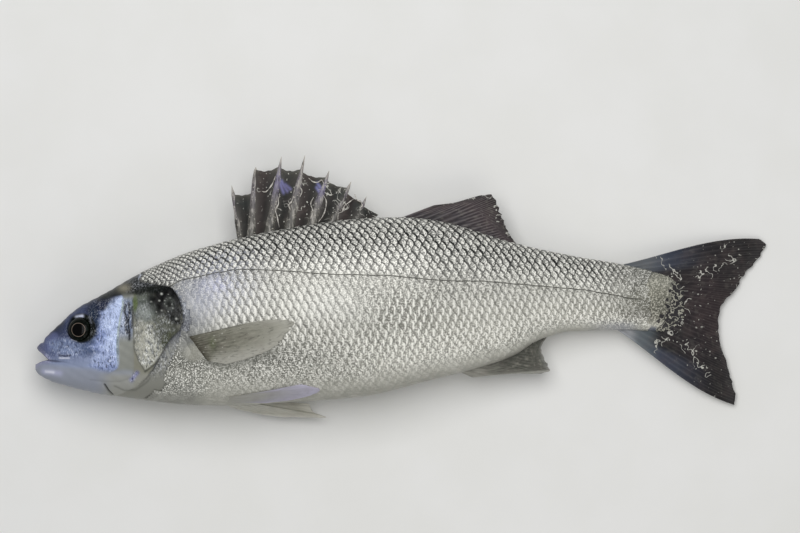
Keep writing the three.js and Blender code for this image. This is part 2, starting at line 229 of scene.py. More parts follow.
def depth_inside(outline, share, height):
    """Distance in millimetres to a closed outline, positive inside it and negative outside."""
    inside = np.zeros(np.broadcast(share, height).shape, bool)
    closed = outline + outline[:1]
    for (x0, y0), (x1, y1) in zip(closed, closed[1:]):
        if y0 != y1:
            inside ^= ((y0 > height) != (y1 > height)) & (share < x0 + (height - y0) * (x1 - x0) / (y1 - y0))
    return np.where(inside, 1, -1) * distance_to(closed, share, height)


def spot(share, height, x, y, half_length, half_height):
    """A soft oval: 1 at its middle and a third of that at its half length and half height, all in shares."""
    return bump(np.hypot((share - x) / half_length, (height - y) / half_height), 1)


def paint_lines(colours, lines, share, height):
    """Lays soft lines over the colours: for each its points, half its width in millimetres, its colour and
    its strength."""
    return tint(colours, *((hex_colour, strength * bump(distance_to(line, share, height), width))
                           for line, width, hex_colour, strength in lines))


def with_ends(grid, first, last):
    """A grid's values as a list, followed by the values of its two end points."""
    return np.concatenate([np.reshape(grid, (-1, *np.shape(first))), [first, last]])


def with_middles(rings):
    """All points of the rings, and the middle of the first and of the last ring."""
    return with_ends(rings, rings[0].mean(0), rings[-1].mean(0))


def make_piece(name, points, faces, material, uv=None, bake_uv=None, colours=None, values=None,
               replaces="fish"):
    """A finished piece from points in millimetres and arrays of faces, one array for each number of sides.
    Maps are given for each point, colours and other values become its attributes, and the faces are smooth."""
    mesh = bpy.data.meshes.new(name)
    points = np.asarray(points, float).reshape(-1, 3)
    corners = np.concatenate([np.asarray(group).ravel() for group in faces])
    sides = np.concatenate([np.full(len(group), np.shape(group)[1]) for group in faces])
    mesh.vertices.add(len(points))
    mesh.vertices.foreach_set("co", (points / METRE).astype(np.float32).ravel())
    mesh.loops.add(len(corners))
    mesh.loops.foreach_set("vertex_index", corners.astype(np.int32))
    mesh.polygons.add(len(sides))
    mesh.polygons.foreach_set("loop_start", np.append(0, np.cumsum(sides)[:-1]).astype(np.int32))
    mesh.update(calc_edges=True)
    for map_name, corner_map in (("pattern", uv), ("OFBake", bake_uv)):
        if corner_map is not None:
            layer = mesh.uv_layers.new(name=map_name)
            layer.data.foreach_set("uv", np.asarray(corner_map, np.float32).reshape(-1, 2)[corners].ravel())
    if colours is not None:
        rgba = np.concatenate([colours.reshape(-1, 3), np.ones((len(points), 1))], 1)
        ground = mesh.attributes.new("ground", "FLOAT_COLOR", "POINT")
        ground.data.foreach_set("color", rgba.astype(np.float32).ravel())
    for value_name, value in (values or {}).items():
        attribute = mesh.attributes.new(value_name, "FLOAT", "POINT")
        attribute.data.foreach_set("value", np.asarray(value, np.float32).ravel())
    mesh.polygons.foreach_set("use_smooth", np.ones(len(sides), bool))
    mesh.materials.append(material)
    mesh.validate()
    piece = bpy.data.objects.new(name, mesh)
    bpy.context.scene.collection.objects.link(piece)
    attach(piece, "root")
    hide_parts(replaces)
    return piece


def grid_faces(rows, columns, closed=False):
    """Four-sided faces of a grid of points, numbered row by row; closed joins the last column to the first."""
    row = np.arange(rows - 1)[:, None] * columns
    column = np.arange(columns if closed else columns - 1)[None, :]
    following = (column + 1) % columns
    faces = np.stack([row + column, row + columns + column, row + columns + following, row + following], -1)
    return faces.reshape(-1, 4)


def tube_faces(rings, sides, turned=False):
    """Faces of a closed skin over rings of points, with a fan on one middle point at each end. The two middle
    points are numbered after the rings."""
    quads = grid_faces(rings, sides, closed=True)
    j = np.arange(sides)
    k = (j + 1) % sides
    count = rings * sides
    first = np.stack([np.full(sides, count), j, k], -1)
    last = np.stack([np.full(sides, count + 1), count - sides + k, count - sides + j], -1)
    groups = [quads, np.concatenate([first, last])]
    return [group[:, ::-1] for group in groups] if turned else groups


def plate_faces(rows, columns, number, turned):
    """Faces of many small closed plates: each has a grid of points for its top, and one face under it that
    runs round the grid's rim."""
    top = grid_faces(rows, columns)
    grid = np.arange(rows * columns).reshape(rows, columns)
    under = np.concatenate([grid[0], grid[1:, -1], grid[-1, -2::-1], grid[-2:0:-1, 0]])[None, ::-1]
    shift = (np.arange(number) * rows * columns)[:, None, None]
    groups = [(group[None] + shift).reshape(-1, group.shape[1]) for group in (top, under)]
    return [group[:, ::-1] for group in groups] if turned else groups


def outward(points, groups):
    """The groups of faces, all turned round if the closed surface's first group has a negative volume."""
    a, b, c, d = (points[groups[0][:, i]] for i in range(4))
    volume = np.einsum("ij,ij->", a, np.cross(b, c)) + np.einsum("ij,ij->", a, np.cross(c, d))
    return groups if volume > 0 else [group[:, ::-1] for group in groups]


# ---- Shader nodes ----

SMOOTH = {"interpolation_type": "SMOOTHSTEP"}  # for a Map Range: value, from low, from high, to start, to end
COLOUR = {"data_type": "RGBA", "out": 2}  # for a Mix of colours: 0 amount, 6 first, 7 second
PLUS, LESS, TIMES, SIZE, LARGER = (
    {"operation": name} for name in ("ADD", "SUBTRACT", "MULTIPLY", "ABSOLUTE", "MAXIMUM"))


def add_node(tree, kind, inputs=(), out=0, **settings):
    """Adds a shader node with its settings, sets or links its inputs, which are given by name or in their
    order, and returns one of its outputs."""
    node = tree.nodes.new("ShaderNode" + kind)
    for name, value in settings.items():
        setattr(node, name, value)
    for socket, value in inputs.items() if isinstance(inputs, dict) else enumerate(inputs):
        if isinstance(value, bpy.types.NodeSocket):
            tree.links.new(value, node.inputs[socket])
        else:
            node.inputs[socket].default_value = value
    return node.outputs[out]


def new_material(name, attributes="", **fixed):
    """Starts a material with one Principled shader and the fixed values of its sockets. Returns the function
    that adds a node to it, the one that links its surface and hands it over, the Object coordinates and the
    piece's attributes."""
    material = bpy.data.materials.new(name)
    material.use_nodes = True
    tree = material.node_tree
    shader = tree.nodes["Principled BSDF"]
    for socket, value in fixed.items():
        shader.inputs[socket.replace("_", " ")].default_value = value
    add = functools.partial(add_node, tree)

    def surface(colour, roughness=None, relief=None, strength=0.3, height=0.3):
        """Links the colour, the roughness and the bump of a relief whose height is in millimetres."""
        tree.links.new(colour, shader.inputs["Base Color"])
        if roughness is not None:
            tree.links.new(roughness, shader.inputs["Roughness"])
        if relief is not None:
            bump_node = add("Bump", {"Height": relief, "Strength": strength, "Distance": height / METRE})
            tree.links.new(bump_node, shader.inputs["Normal"])
        return material

    return (add, surface, add("TexCoord", out="Object"), *(
        add("Attribute", attribute_name=each, out="Color" if each == "ground" else "Fac")
        for each in attributes.split()))


# ---- Materials ----

SCALE_SHIFT = 0.36  # how far a row of scales is set back from the one below it, in scale lengths

# WHITE_SILVER is the silver of lighter scales and the colour of the painted highlights and glints; GAP_GREY is
# the painted shade in the gaps; NET_DARK is the net's dark pigment and painted shadow.
WHITE_SILVER, GAP_GREY, NET_DARK, TONE_DARK = map(linear, ("#fffef6", "#7c7b74", "#070807", "#525450"))
HEAD_SHADE, HEAD_PIT, HEAD_GLINT = map(linear, ("#9399ad", "#474a54", "#a6a8ad"))
MUCUS_WHITE, RAY_DARK = map(linear, ("#bdbcb4", "#141314"))


def wet_scale_material():
    """Guanine-silvered scales under wet mucus: a soft metal gloss, a painted highlight as a bright rim on each
    scale's free edge, and a dark net in the corners behind the edges that cover it, partly the skin's dark
    pigment and partly painted shadow. The map gives each scale's own place: along it in scale lengths and
    across it in row heights, with its free edge a half ellipse. Attributes say how strong the net of pigment
    and painted shadow, the grey gaps of painted shade, the rim's painted highlight, the upright dashes of
    painted highlight and the flecks of painted glint and dark pits are on each part of the fish."""
    add, surface, where, ground, net, gap, rim, dash, fleck, tone = new_material(
        "wet_silver_scales", "ground net gap rim dash fleck tone", Metallic=0.22, IOR=1.45, Coat_Weight=0.12,
        Coat_Roughness=0.3)
    place = add("UVMap", uv_map="pattern")
    along, across = (add("SeparateXYZ", [place], out=axis) for axis in (0, 1))
    grain = add("TexNoise", {"Vector": where, "Scale": METRE / 0.85, "Detail": 2, "Roughness": 0.6})
    uneven = add("TexNoise", {"Vector": where, "Scale": METRE / 1.7, "Detail": 2})
    crumple = add("Math", [add("Math", [uneven, 0.5], **LESS), 0.3], **TIMES)

    def behind_edge(shift_along, shift_across):
        """How far behind the crumpled free edge of the scale that stands so far away this point is."""
        b = add("Math", [across, shift_across], **LESS)
        squared = add("Math", [b, b], **TIMES)
        reach = add("Math", [add("Math", [1, squared], **LESS)], operation="SQRT")
        behind = add("Math", [add("Math", [along, 0.5 - shift_along], **PLUS), reach], **LESS)
        return add("Math", [behind, crumple], **PLUS)

    def shadow(amount, *falls):
        """The strongest of the shadows behind some edges: each starts at a strength and ends further back."""
        falls = [add("MapRange", [edge, low, high, start, 0], **SMOOTH) for edge, low, high, start in falls]
        strongest = functools.reduce(lambda one, other: add("Math", [one, other], **LARGER), falls)
        return add("Math", [strongest, amount], use_clamp=True, **TIMES)

    own = add("Math", [behind_edge(0, 0), -1], **TIMES)
    ahead, below, above = (behind_edge(*shift) for shift in (
        (-1, 0), (-SCALE_SHIFT, -1), (SCALE_SHIFT - 1, 1)))
    # The net: the skin's dark pigment and painted shadow just behind the edges of the scales that cover this
    # one.
    dark = shadow(net, (below, 0.1, 0.33, 1), (ahead, 0.08, 0.3, 1), (above, 0.05, 0.25, 0.8))
    # Painted shade: grey in the gaps behind those edges.
    hollow = shadow(gap, (below, 0.05, 0.5, 1), (ahead, 0.05, 0.45, 0.8))
    # Painted highlight: a bright rim just inside each scale's free edge, broken up by the grain.
    shine = add("MapRange", [grain, 0.43, 0.53, 0.15, 1], **SMOOTH)
    bright = add("Math", [add("MapRange", [own, 0.3, 0.62, rim, 0], **SMOOTH), shine], **TIMES)
    # Painted highlight: an upright bright dash across each scale.
    painted_highlight_bar = add("Math", [add("Math", [along, -0.22], **PLUS), crumple], **PLUS)
    painted_highlight_bar = add("MapRange", [add("Math", [painted_highlight_bar], **SIZE), 0.04, 0.17, dash, 0], **SMOOTH)
    upright = add("MapRange", [add("Math", [across], **SIZE), 0.35, 0.9, 1, 0], **SMOOTH)
    bright = add("Math", [bright, add("Math", [painted_highlight_bar, upright], **TIMES)], use_clamp=True, **LARGER)
    # Painted glints: small white flecks; the pits are dark specks.
    spark = add("MapRange", [grain, 0.54, 0.58, 0, fleck], **SMOOTH)
    pit = add("Math", [add("MapRange", [grain, 0.5, 0.42, 0, fleck], **SMOOTH), 0.5], **TIMES)
    lighter = add("MapRange", [tone, -0.01, 0.01], **SMOOTH)
    toned = add("Mix", {0: lighter, 6: TONE_DARK, 7: WHITE_SILVER}, **COLOUR)
    colour = ground
    for amount, over in ((add("Math", [tone], **SIZE), toned), (hollow, GAP_GREY), (pit, TONE_DARK),
                         (bright, WHITE_SILVER), (spark, WHITE_SILVER), (dark, NET_DARK)):
        colour = add("Mix", {0: amount, 6: colour, 7: over}, **COLOUR)
    return surface(colour, add("MapRange", [grain, 0.35, 0.65, 0.4, 0.56], **SMOOTH), grain)


def head_material():
    """Bare wet skin over the head's bones: smooth and glossy, with silver flecks of guanine under the surface
    where the bone plates are, painted as bright glints, and fine dark pigment. The attribute says how much it
    sparkles with these painted glints, dark specks and mottling."""
    add, surface, where, ground, sparkle = new_material(
        "wet_head_skin", "ground sparkle", Metallic=0.1, IOR=1.45, Coat_Weight=0.04, Coat_Roughness=0.15,
        Specular_IOR_Level=0.15)
    streaked = add("Mapping", {"Vector": where, "Rotation": (0, 0, 0.2), "Scale": (1.25, 0.6, 1)})
    fine, pits, mottle, broad = (
        add("TexNoise", {"Vector": vector, "Scale": METRE / size, "Detail": detail, "Roughness": rough})
        for vector, size, detail, rough in (
            (streaked, 0.9, 2.5, 0.7), (streaked, 1.4, 3, 0.6), (streaked, 2.6, 3, 0.65), (where, 5, 2, 0.5)))
    clouds = add("MapRange", [broad, 0.42, 0.58, 0.35, 1], **SMOOTH)
    fleck = add("Math", [add("MapRange", [fine, 0.49, 0.6, 0, sparkle], **SMOOTH), clouds], **TIMES)
    speck = add("MapRange", [pits, 0.48, 0.34, 0, sparkle], **SMOOTH)
    shade = add("MapRange", [mottle, 0.54, 0.4, 0, sparkle], **SMOOTH)
    # Painted glints: the flecks brighten the ground by HEAD_GLINT.
    lit = add("Mix", {0: 1, 6: ground, 7: HEAD_GLINT}, blend_type="ADD", **COLOUR)
    colour = ground
    for amount, strength, over, blend in ((shade, 0.75, HEAD_SHADE, "MULTIPLY"),
                                          (speck, 0.8, HEAD_PIT, "MULTIPLY"), (fleck, 0.9, lit, "MIX")):
        colour = add("Mix", {0: add("Math", [amount, strength], **TIMES), 6: colour, 7: over},
                     blend_type=blend, **COLOUR)
    return surface(colour, add("MapRange", [fine, 0.35, 0.65, 0.28, 0.45], **SMOOTH), fine, 0.25)


def mucus_threads(add, where, wanted):
    """Loose threads and drops of drying mucus: where a noise passes through its middle value, and where a fine
    noise peaks, in patches, times the amount wanted."""
    wander, patch, fine = (
        add("TexNoise", {"Vector": where, "Scale": METRE / size, "Detail": detail})
        for size, detail in ((4.6, 1.2), (9, 1), (1.4, 0)))
    level = add("Math", [add("Math", [wander, 0.5], **LESS)], **SIZE)
    there = add("MapRange", [add("Math", [patch, wanted], **PLUS), 1, 1.12], **SMOOTH)
    thread = add("MapRange", [level, 0.008, 0.026, there, 0], **SMOOTH)
    drops_there = add("MapRange", [wanted, 0.2, 0.45], **SMOOTH)
    drop = add("MapRange", [fine, 0.77, 0.81, 0, drops_there], **SMOOTH)
    return add("Math", [thread, drop], use_clamp=True, **LARGER)


def trunk_material():
    """Bare and fine-scaled skin of the belly and the tail's base: smooth wet grey with small bright glints,
    which breaks up into beige threads where the tail fin's dark skin begins."""
    add, surface, where, ground, sparkle, fin_begins = new_material(
        "wet_belly_skin", "ground sparkle fin_begins", Metallic=0.12, IOR=1.45, Coat_Weight=0.25,
        Coat_Roughness=0.2)
    fine = add("TexNoise", {"Vector": where, "Scale": METRE, "Detail": 2, "Roughness": 0.6})
    islands = add("TexNoise", {"Vector": where, "Scale": METRE / 3.2, "Detail": 1.5})
    fleck = add("MapRange", [fine, 0.51, 0.6, 0, sparkle], **SMOOTH)
    speck = add("MapRange", [fine, 0.48, 0.41, 0, sparkle], **SMOOTH)
    bare = add("MapRange", [add("Math", [fin_begins, islands], **LESS), -0.06, 0.06], **SMOOTH)
    level = add("Math", [add("Math", [islands, 0.5], **LESS)], **SIZE)
    threads = add("MapRange", [level, 0.012, 0.04, 0.9, 0], **SMOOTH)
    dark = add("Mix", {0: threads, 6: linear("#2b292b"), 7: linear("#b5b3a4")}, **COLOUR)
    colour = ground
    for amount, over in ((add("Math", [speck, 0.7], **TIMES), linear("#35362f")),
                         (add("Math", [fleck, 0.85], **TIMES), linear("#efecdc")), (bare, dark)):
        colour = add("Mix", {0: amount, 6: colour, 7: over}, **COLOUR)
    return surface(colour, add("MapRange", [fine, 0.35, 0.65, 0.34, 0.5], **SMOOTH), fine, 0.35)


def fin_material():
    """Thin dusky fin skin on jointed rays: satin and nearly opaque where it lies wet, darker between the rays,
    with loose threads of mucus. The map counts rays across the fin and goes from 0 at the root to 1 at the
    tip; the rays fork into two and then four on the way. Attributes say how much the rays, the streaks along
    them and the mucus show."""
    add, surface, where, ground, ray_shows, streaks, lace = new_material(
        "dusky_fin_skin", "ground ray_shows streaks lace", IOR=1.4, Coat_Weight=0.03, Coat_Roughness=0.3,
        Specular_IOR_Level=0.15)
    place = add("UVMap", uv_map="pattern")
    ray, outwards = (add("SeparateXYZ", [place], out=axis) for axis in (0, 1))

    def wave(value, count):
        return add("Math", [add("Math", [value, math.tau * count], **TIMES)], operation="COSINE")

    rays = wave(ray, 1)
    for low, high, count in ((0.3, 0.5, 2), (0.6, 0.8, 4)):
        rays = add("Mix", {0: add("MapRange", [outwards, low, high], **SMOOTH), 2: rays, 3: wave(ray, count)})
    between = add("MapRange", [rays, 0.2, -0.8, 0, ray_shows], **SMOOTH)
    joint = add("MapRange", [wave(outwards, 50), 0.6, 1, 0, 0.2], **SMOOTH)
    crest = add("MapRange", [rays, 0.3, 1, 0, 0.16], **SMOOTH)
    cloudy = add("TexNoise", {"Vector": where, "Scale": METRE / 8, "Detail": 4, "Roughness": 0.6})
    along_rays = add("Mapping", {"Vector": place, "Scale": (1.4, 11, 1)})
    streak = add("TexNoise", {"Vector": along_rays, "Scale": 1, "Detail": 3, "Roughness": 0.6})
    threads = mucus_threads(add, where, lace)
    colour = ground
    for amount, over in (
            (add("Math", [between, 0.6], **TIMES), RAY_DARK),
            (add("Math", [crest, ray_shows], **TIMES), linear("#a9a5a0")),
            (add("Math", [joint, ray_shows], **TIMES), RAY_DARK),
            (add("MapRange", [cloudy, 0.42, 0.72, 0, 0.16], **SMOOTH), linear("#6c5f5c")),
            (add("MapRange", [streak, 0.5, 0.72, 0, streaks], **SMOOTH), linear("#a7a498")),
            (add("MapRange", [streak, 0.48, 0.3, 0, streaks], **SMOOTH), RAY_DARK), (threads, MUCUS_WHITE)):
        colour = add("Mix", {0: amount, 6: colour, 7: over}, **COLOUR)
    relief = add("Math", [add("Math", [rays, 0.3], **TIMES), threads], **PLUS)
    return surface(colour, add("MapRange", [cloudy, 0.3, 0.7, 0.42, 0.6], **SMOOTH), relief)


def spine_material():
    """Fleshy grey sheath over hard fin spines: moist and satin, streaked along the spine, bone pale at the
    tip."""
    add, surface, where, ground = new_material(
        "sheathed_fin_spines", "ground", IOR=1.42, Coat_Weight=0.15, Coat_Roughness=0.25)
    along = add("Mapping", {"Vector": where, "Rotation": (0, 0, 0.15), "Scale": (1, 0.22, 1)})
    streak = add("TexNoise", {"Vector": along, "Scale": METRE / 1.6, "Detail": 3, "Roughness": 0.6})
    mottle = add("TexNoise", {"Vector": where, "Scale": METRE / 1.2, "Detail": 2})
    colour = ground
    for pattern, low, high, strength, over in ((streak, 0.5, 0.66, 0.75, "#aaa69f"),
                                               (streak, 0.47, 0.34, 0.8, "#2b2a27"),
                                               (mottle, 0.6, 0.68, 0.6, "#c7c2b6")):
        colour = add("Mix", {0: add("MapRange", [pattern, low, high, 0, strength], **SMOOTH), 6: colour,
                             7: linear(over)}, **COLOUR)
    return surface(colour, add("MapRange", [mottle, 0.35, 0.65, 0.34, 0.55], **SMOOTH), streak, 0.5, 0.5)


def eye_material():
    """A fish's eye under its clear wet cornea: black pupil, thin bronze ring and dark greenish iris. The map's
    first number is the distance from the pupil's middle, as a share of the ball's radius."""
    add, surface, where = new_material(
        "wet_eye", Roughness=0.15, IOR=1.38, Coat_Weight=0.05, Coat_Roughness=0.05, Specular_IOR_Level=0.12)
    place = add("UVMap", uv_map="pattern")
    uneven = add("TexNoise", {"Vector": where, "Scale": METRE / 2})
    cloudy = add("TexNoise", {"Vector": where, "Scale": METRE / 1.6, "Detail": 2})
    radius = add("Math", [add("Math", [uneven, 0.03], **TIMES), add("SeparateXYZ", [place])], **PLUS)
    iris = add("Mix", {0: add("MapRange", [cloudy, 0.5, 0.72], **SMOOTH), 6: linear("#060906"),
                       7: linear("#171f1a")}, **COLOUR)
    colour = add("Mix", {0: add("MapRange", [radius, 0.495, 0.525], **SMOOTH), 6: linear("#040303"),
                         7: linear("#786b61")}, **COLOUR)
    outside = add("MapRange", [radius, 0.535, 0.565], **SMOOTH)
    return surface(add("Mix", {0: outside, 6: colour, 7: iris}, **COLOUR))


def two_tone_material(name, size, detail, low, high, first, second, rough_low=None, rough_high=None, **fixed):
    """A plain stuff whose colour, and roughness too where it is given, follows a noise of one size in
    millimetres."""
    add, surface, where = new_material(name, **fixed)
    grain = add("TexNoise", {"Vector": where, "Scale": METRE / size, "Detail": detail})
    colour = add("Mix", {0: add("MapRange", [grain, low, high], **SMOOTH), 6: linear(first),
                         7: linear(second)}, **COLOUR)
    return surface(colour, rough_low and add("MapRange", [grain, 0.3, 0.7, rough_low, rough_high], **SMOOTH))


def pore_material():
    """The lateral line's tubes: dark pigmented skin over a groove, moist and dull."""
    return two_tone_material("dark_pore_tubes", 1.2, 2, 0.35, 0.7, "#30312c", "#6d6d64", 0.45, 0.65, IOR=1.4)


def thread_material():
    """Drying mucus drawn out in threads: milky, wet and uneven."""
    return two_tone_material("milky_mucus", 1.5, 2, 0.35, 0.65, "#8f8a84", "#d5d0c8", 0.25, 0.4, IOR=1.36,
                             Coat_Weight=0.4, Coat_Roughness=0.15)


def floor_material():
    """Plain matt paper."""
    return two_tone_material("matt_paper", 60, 3, 0.3, 0.7, "#e9e9e6", "#ececea", Roughness=0.9, IOR=1.45)


# ---- The head ----

HEAD_RINGS, HEAD_SIDES = 215, 450

OPERCLE = [
    (13.5, -3.3), (13.6, -8.4), (14.2, -10), (15.1, -11.4), (16.5, -10.3), (17.6, -8.9), (18.3, -7.2),
    (19, -5.8), (19.6, -4.2), (19.1, -2.5), (18.1, -0.9), (16.6, -0.1), (14.9, 0), (13.9, -1.4),
]
CHEEK_EDGE = [
    (-12.5, 9), (-11.6, 10.6), (-11.1, 11.3), (-10.2, 11.5), (-8, 11.45), (-6.3, 11.55), (-4.1, 11.9),
    (-2.3, 12.2), (-1.35, 12), (-0.8, 11.6),
]
MOUTH_NOTCH = [
    (-11.05, -0.5), (-10.6, 0.15), (-10.2, 0.97), (-10, 1.8), (-9.55, 1.42), (-9.15, 0.97), (-8.7, 0.42),
    (-8.4, 0.22), (-7.4, -1),
]
UPPER_LIP = [(0.3, -8.4), (0.7, -8.85), (1.05, -9.2), (1.8, -9.95)]
LOWER_LIP = [(-0.1, -11.1), (0.3, -10.7), (0.85, -10.35), (1.8, -10.2)]
MOUTH_LINE = [(1.7, -10.05), (2.6, -10.2), (4.2, -10.35), (6.3, -10.95)]
UPPER_JAW = [
    (0.4, -7.6), (0.3, -8.5), (1, -9.2), (1.8, -10), (4.2, -10.3), (6.6, -11), (7.1, -10.2), (5.8, -9.2),
    (3.4, -8.7), (1.6, -7.9),
]
LACRIMAL_LINE = [(3.3, -9.35), (4, -9.5), (4.8, -9.4)]
THROAT_SLIT = [(9.5, -13.4), (10, -14.2), (10.6, -14.8)]
THROAT_FOLDS = [
    [(7.6, -12.7), (9.5, -12.95), (11.6, -12.95), (13.2, -12.4)],
    [(10.9, -13.6), (12.2, -14.2), (13.7, -14.2), (15.2, -13.2), (16.2, -12)],
    [(15.7, -11.8), (16.5, -11.2), (17.2, -10.4)],
]
STRIP_LINES = [
    [(12.35, -2.5), (12.25, -3.4), (12.55, -4.4), (12.4, -5.4), (12.6, -6.3)],
    [(12.8, -2.2), (12.95, -3.6), (12.75, -4.9), (12.95, -6.3), (12.9, -7.2)],
    [(13.3, -2.8), (13.35, -4.2), (13.25, -5.6)],
]
cheek_edge = profile(CHEEK_EDGE)
# Ridges and grooves of the head: the line that each follows, its width and its height in millimetres.
RELIEF_LINES = [
    (UPPER_LIP, 1.3, 0.45), (LOWER_LIP, 1.3, 0.4), (LACRIMAL_LINE, 0.6, -0.35), (THROAT_SLIT, 0.7, -1),
    *((fold, 0.9, -depth) for fold, depth in zip(THROAT_FOLDS, (0.15, 0.35, 0.35))),
    *((line, 0.6, -0.35) for line in STRIP_LINES),
]

# Colours from the back (0) to the belly (1), and of the bare shoulder by height.
HEAD_TONES = [(0, "#1c2130"), (0.08, "#2f364e"), (0.25, "#464e6c"), (0.5, "#6b7596"), (0.72, "#97a2be"),
              (0.88, "#a3a7b2"), (1, "#7b7c76")]
SHOULDER_TONES = [(-14, "#8c8c84"), (-10.5, "#94948d"), (-8.7, "#8f908b"), (-7, "#6f7174"), (-5.4, "#707276"),
                  (-3.8, "#82858a"), (-2, "#9da1a8"), (0, "#a5a9b4")]

# Soft oval patches of the head's colouring, painted in this order: the part's name, its middle's share and
# height, its half length and half height in shares, its turn in degrees, colour, strength and sparkle.
HEAD_PATCHES = [
    ("snout sheen", 1.9, -7.6, 1.6, 1.1, 35, "#6f76a0", 0.6, 0.1),
    ("forehead", 5.6, -3.7, 2.2, 1, 40, "#4a5478", 0.5, 0.2),
    ("plate under the eye", 4.6, -8.35, 2.9, 1.1, -12, "#7f8dae", 0.9, 0.8),
    ("skin behind the jaw", 7.7, -8, 1.6, 1.6, 0, "#4a5a7c", 0.7, 0.55),
]
CHEEK_PATCHES = [
    ("temple", 8.9, -2.5, 2.2, 1.05, 30, "#1c2440", 1, 0.6),
    ("skin behind the eye", 7.95, -5, 0.95, 2.5, -6, "#1d2c42", 0.95, 0.4),
    ("middle of the cheek", 9.3, -6.9, 0.8, 1.3, 0, "#7689be", 0.4, 1),
    ("foot of the cheek", 9.4, -9.9, 2.1, 1, 0, "#b3c1e6", 0.7, 1),
]
COVER_PATCHES = [
    ("upper plate", 15.4, -2.9, 2.4, 2.1, 0, "#565c57", 0.95, 0.35),
    ("grey shine on it", 14.9, -3.6, 1.2, 1.2, 0, "#8f9490", 0.8, 0.5),
    ("green corner", 13.75, -2.2, 0.38, 1.2, 0, "#5f6e3a", 0.8, 0.1),
    ("pale patch", 14.7, -1.1, 1.2, 0.9, 15, "#767c71", 0.6, 0.3),
    ("smooth sheen on the plate", 14.5, -7.2, 0.9, 2.8, 0, "#a6a598", 0.6, 0.35),
    ("dusky rear", 18.1, -5.6, 1.8, 2.6, 8, "#484b42", 0.85, 0.5),
    ("olive rear edge", 18.3, -7.2, 1.5, 0.8, 55, "#4a4e3c", 0.85, 0.5),
    ("black blotch", 18.2, -1.7, 2.7, 2.4, 0, "#010202", 1, 0),
    ("its front arm", 15.2, -0.25, 3.4, 1, 4, "#0a0f0c", 0.95, 0.1),
    ("its tail", 19.2, -3.7, 1.1, 1.8, 12, "#0e110f", 0.95, 0.3),
    ("curl of silver", 18.4, -2.4, 0.75, 0.95, 0, "#3c403b", 0.7, 0.3),
    ("hollow of the curl", 18.4, -2.4, 0.4, 0.5, 0, "#141714", 0.9, 0),
]
# Painted glints: small white dots on the gill cover, (share, height, radius in millimetres). The last ones are
# on the curl.
COVER_DOTS = [
    (17.4, -1.1, 0.75), (17.1, -2, 0.6), (16, -2.15, 0.5), (14.95, -1.85, 0.45), (18.3, -3.45, 0.45),
    (17.4, -3.3, 0.5), (16.7, -3.5, 0.45), (18.3, -1.15, 0.3), (14.6, 0.1, 0.4), (17.6, -4.6, 0.6),
    (18.4, -4.9, 0.5), (19.4, -4.4, 0.7), (17.85, -2, 0.45), (18, -1.7, 0.3), (18.5, -1.6, 0.4),
    (18.75, -2, 0.3), (18.8, -2.5, 0.4), (18.95, -3, 0.45), (18.5, -2.9, 0.3), (18.1, -2.7, 0.4),
    (17.8, -2.4, 0.3),
]
# Painted lines: points, width in millimetres, colour and strength.
BROW = [([(9.6, -1.55), (10.6, -1.25), (11.9, -1)], 0.8, "#141c26", 1)]
# On the jaw: painted highlights on the lower jaw, painted shade in the lacrimal groove and a painted highlight
# on the ridge just below it.
JAW_HIGHLIGHTS_AND_GROOVE_SHADE = [
    ([(1.2, -11.6), (3.4, -11.8)], 1.9, "#b3b6d0", 0.85), ([(1.5, -11.6), (2.5, -11.7)], 0.9, "#eef0fc", 0.7),
    (LACRIMAL_LINE, 0.55, "#333850", 0.9), ([(3.4, -9.75), (4.7, -9.75)], 0.5, "#e6eaf8", 0.75),
]
DARK_STRIP_LINES = [(line, 0.8, "#12161b", 1) for line in STRIP_LINES]
COVER_RIMS = [
    ([(15.1, -11.5), (16.6, -10.4), (17.7, -9), (18.6, -7.3)], 0.6, "#2f322a", 0.75),
    ([(13.5, -3.6), (13.6, -8.4), (14.2, -10), (15.1, -11.4)], 0.5, "#55574f", 0.55),
]
EYE_GLINTS = [
    ([(5.7, -4.2), (6.45, -4.05)], 1, "#e3e9ff", 0.95), ([(5, -7.2), (5.7, -7.45)], 0.4, "#e3e9ff", 0.3),
    ([(7.5, -4.2), (7.75, -5)], 0.4, "#e3e9ff", 0.2),
]
# Painted shade: dark lines in the throat's slit and its folds.
THROAT_CREASE_SHADE = [(THROAT_SLIT, 0.6, "#2b2c28", 0.9)] + [
    (fold, 0.6, "#5c5e58", strength) for fold, strength in zip(THROAT_FOLDS, (0.2, 0.45, 0.45))]
VIOLET_STROKE = [(13.2, -12.7), (14, -11.7)]


def paint_patches(colours, sparkle, patches, share, height, where=1):
    """Lays soft oval patches over the colours, inside a mask."""
    for _, x, y, half_length, half_height, turn, hex_colour, strength, shine in patches:
        cos, sin = math.cos(math.radians(turn)), math.sin(math.radians(turn))
        u, v = (share - x) * cos + (height - y) * sin, (height - y) * cos - (share - x) * sin
        wobble = 0.12 * np.sin(3.1 * share + 2 * height) * np.sin(2.7 * height - share)
        mask = smooth_step(1.3, 0.6, np.hypot(u / half_length, v / half_height) + wobble) * strength * where
        colours = tint(colours, (hex_colour, mask))
        sparkle = sparkle * (1 - mask) + shine * mask
    return colours, sparkle


def side_of_head_edge(share, height):
    """Distance in millimetres to the gill cover's free edge and the scales' start: positive on the head."""
    return np.where(share < head_edge(height), 1, -1) * distance_to(
        [(place, level) for level, place in reversed(HEAD_EDGE)], share, height)


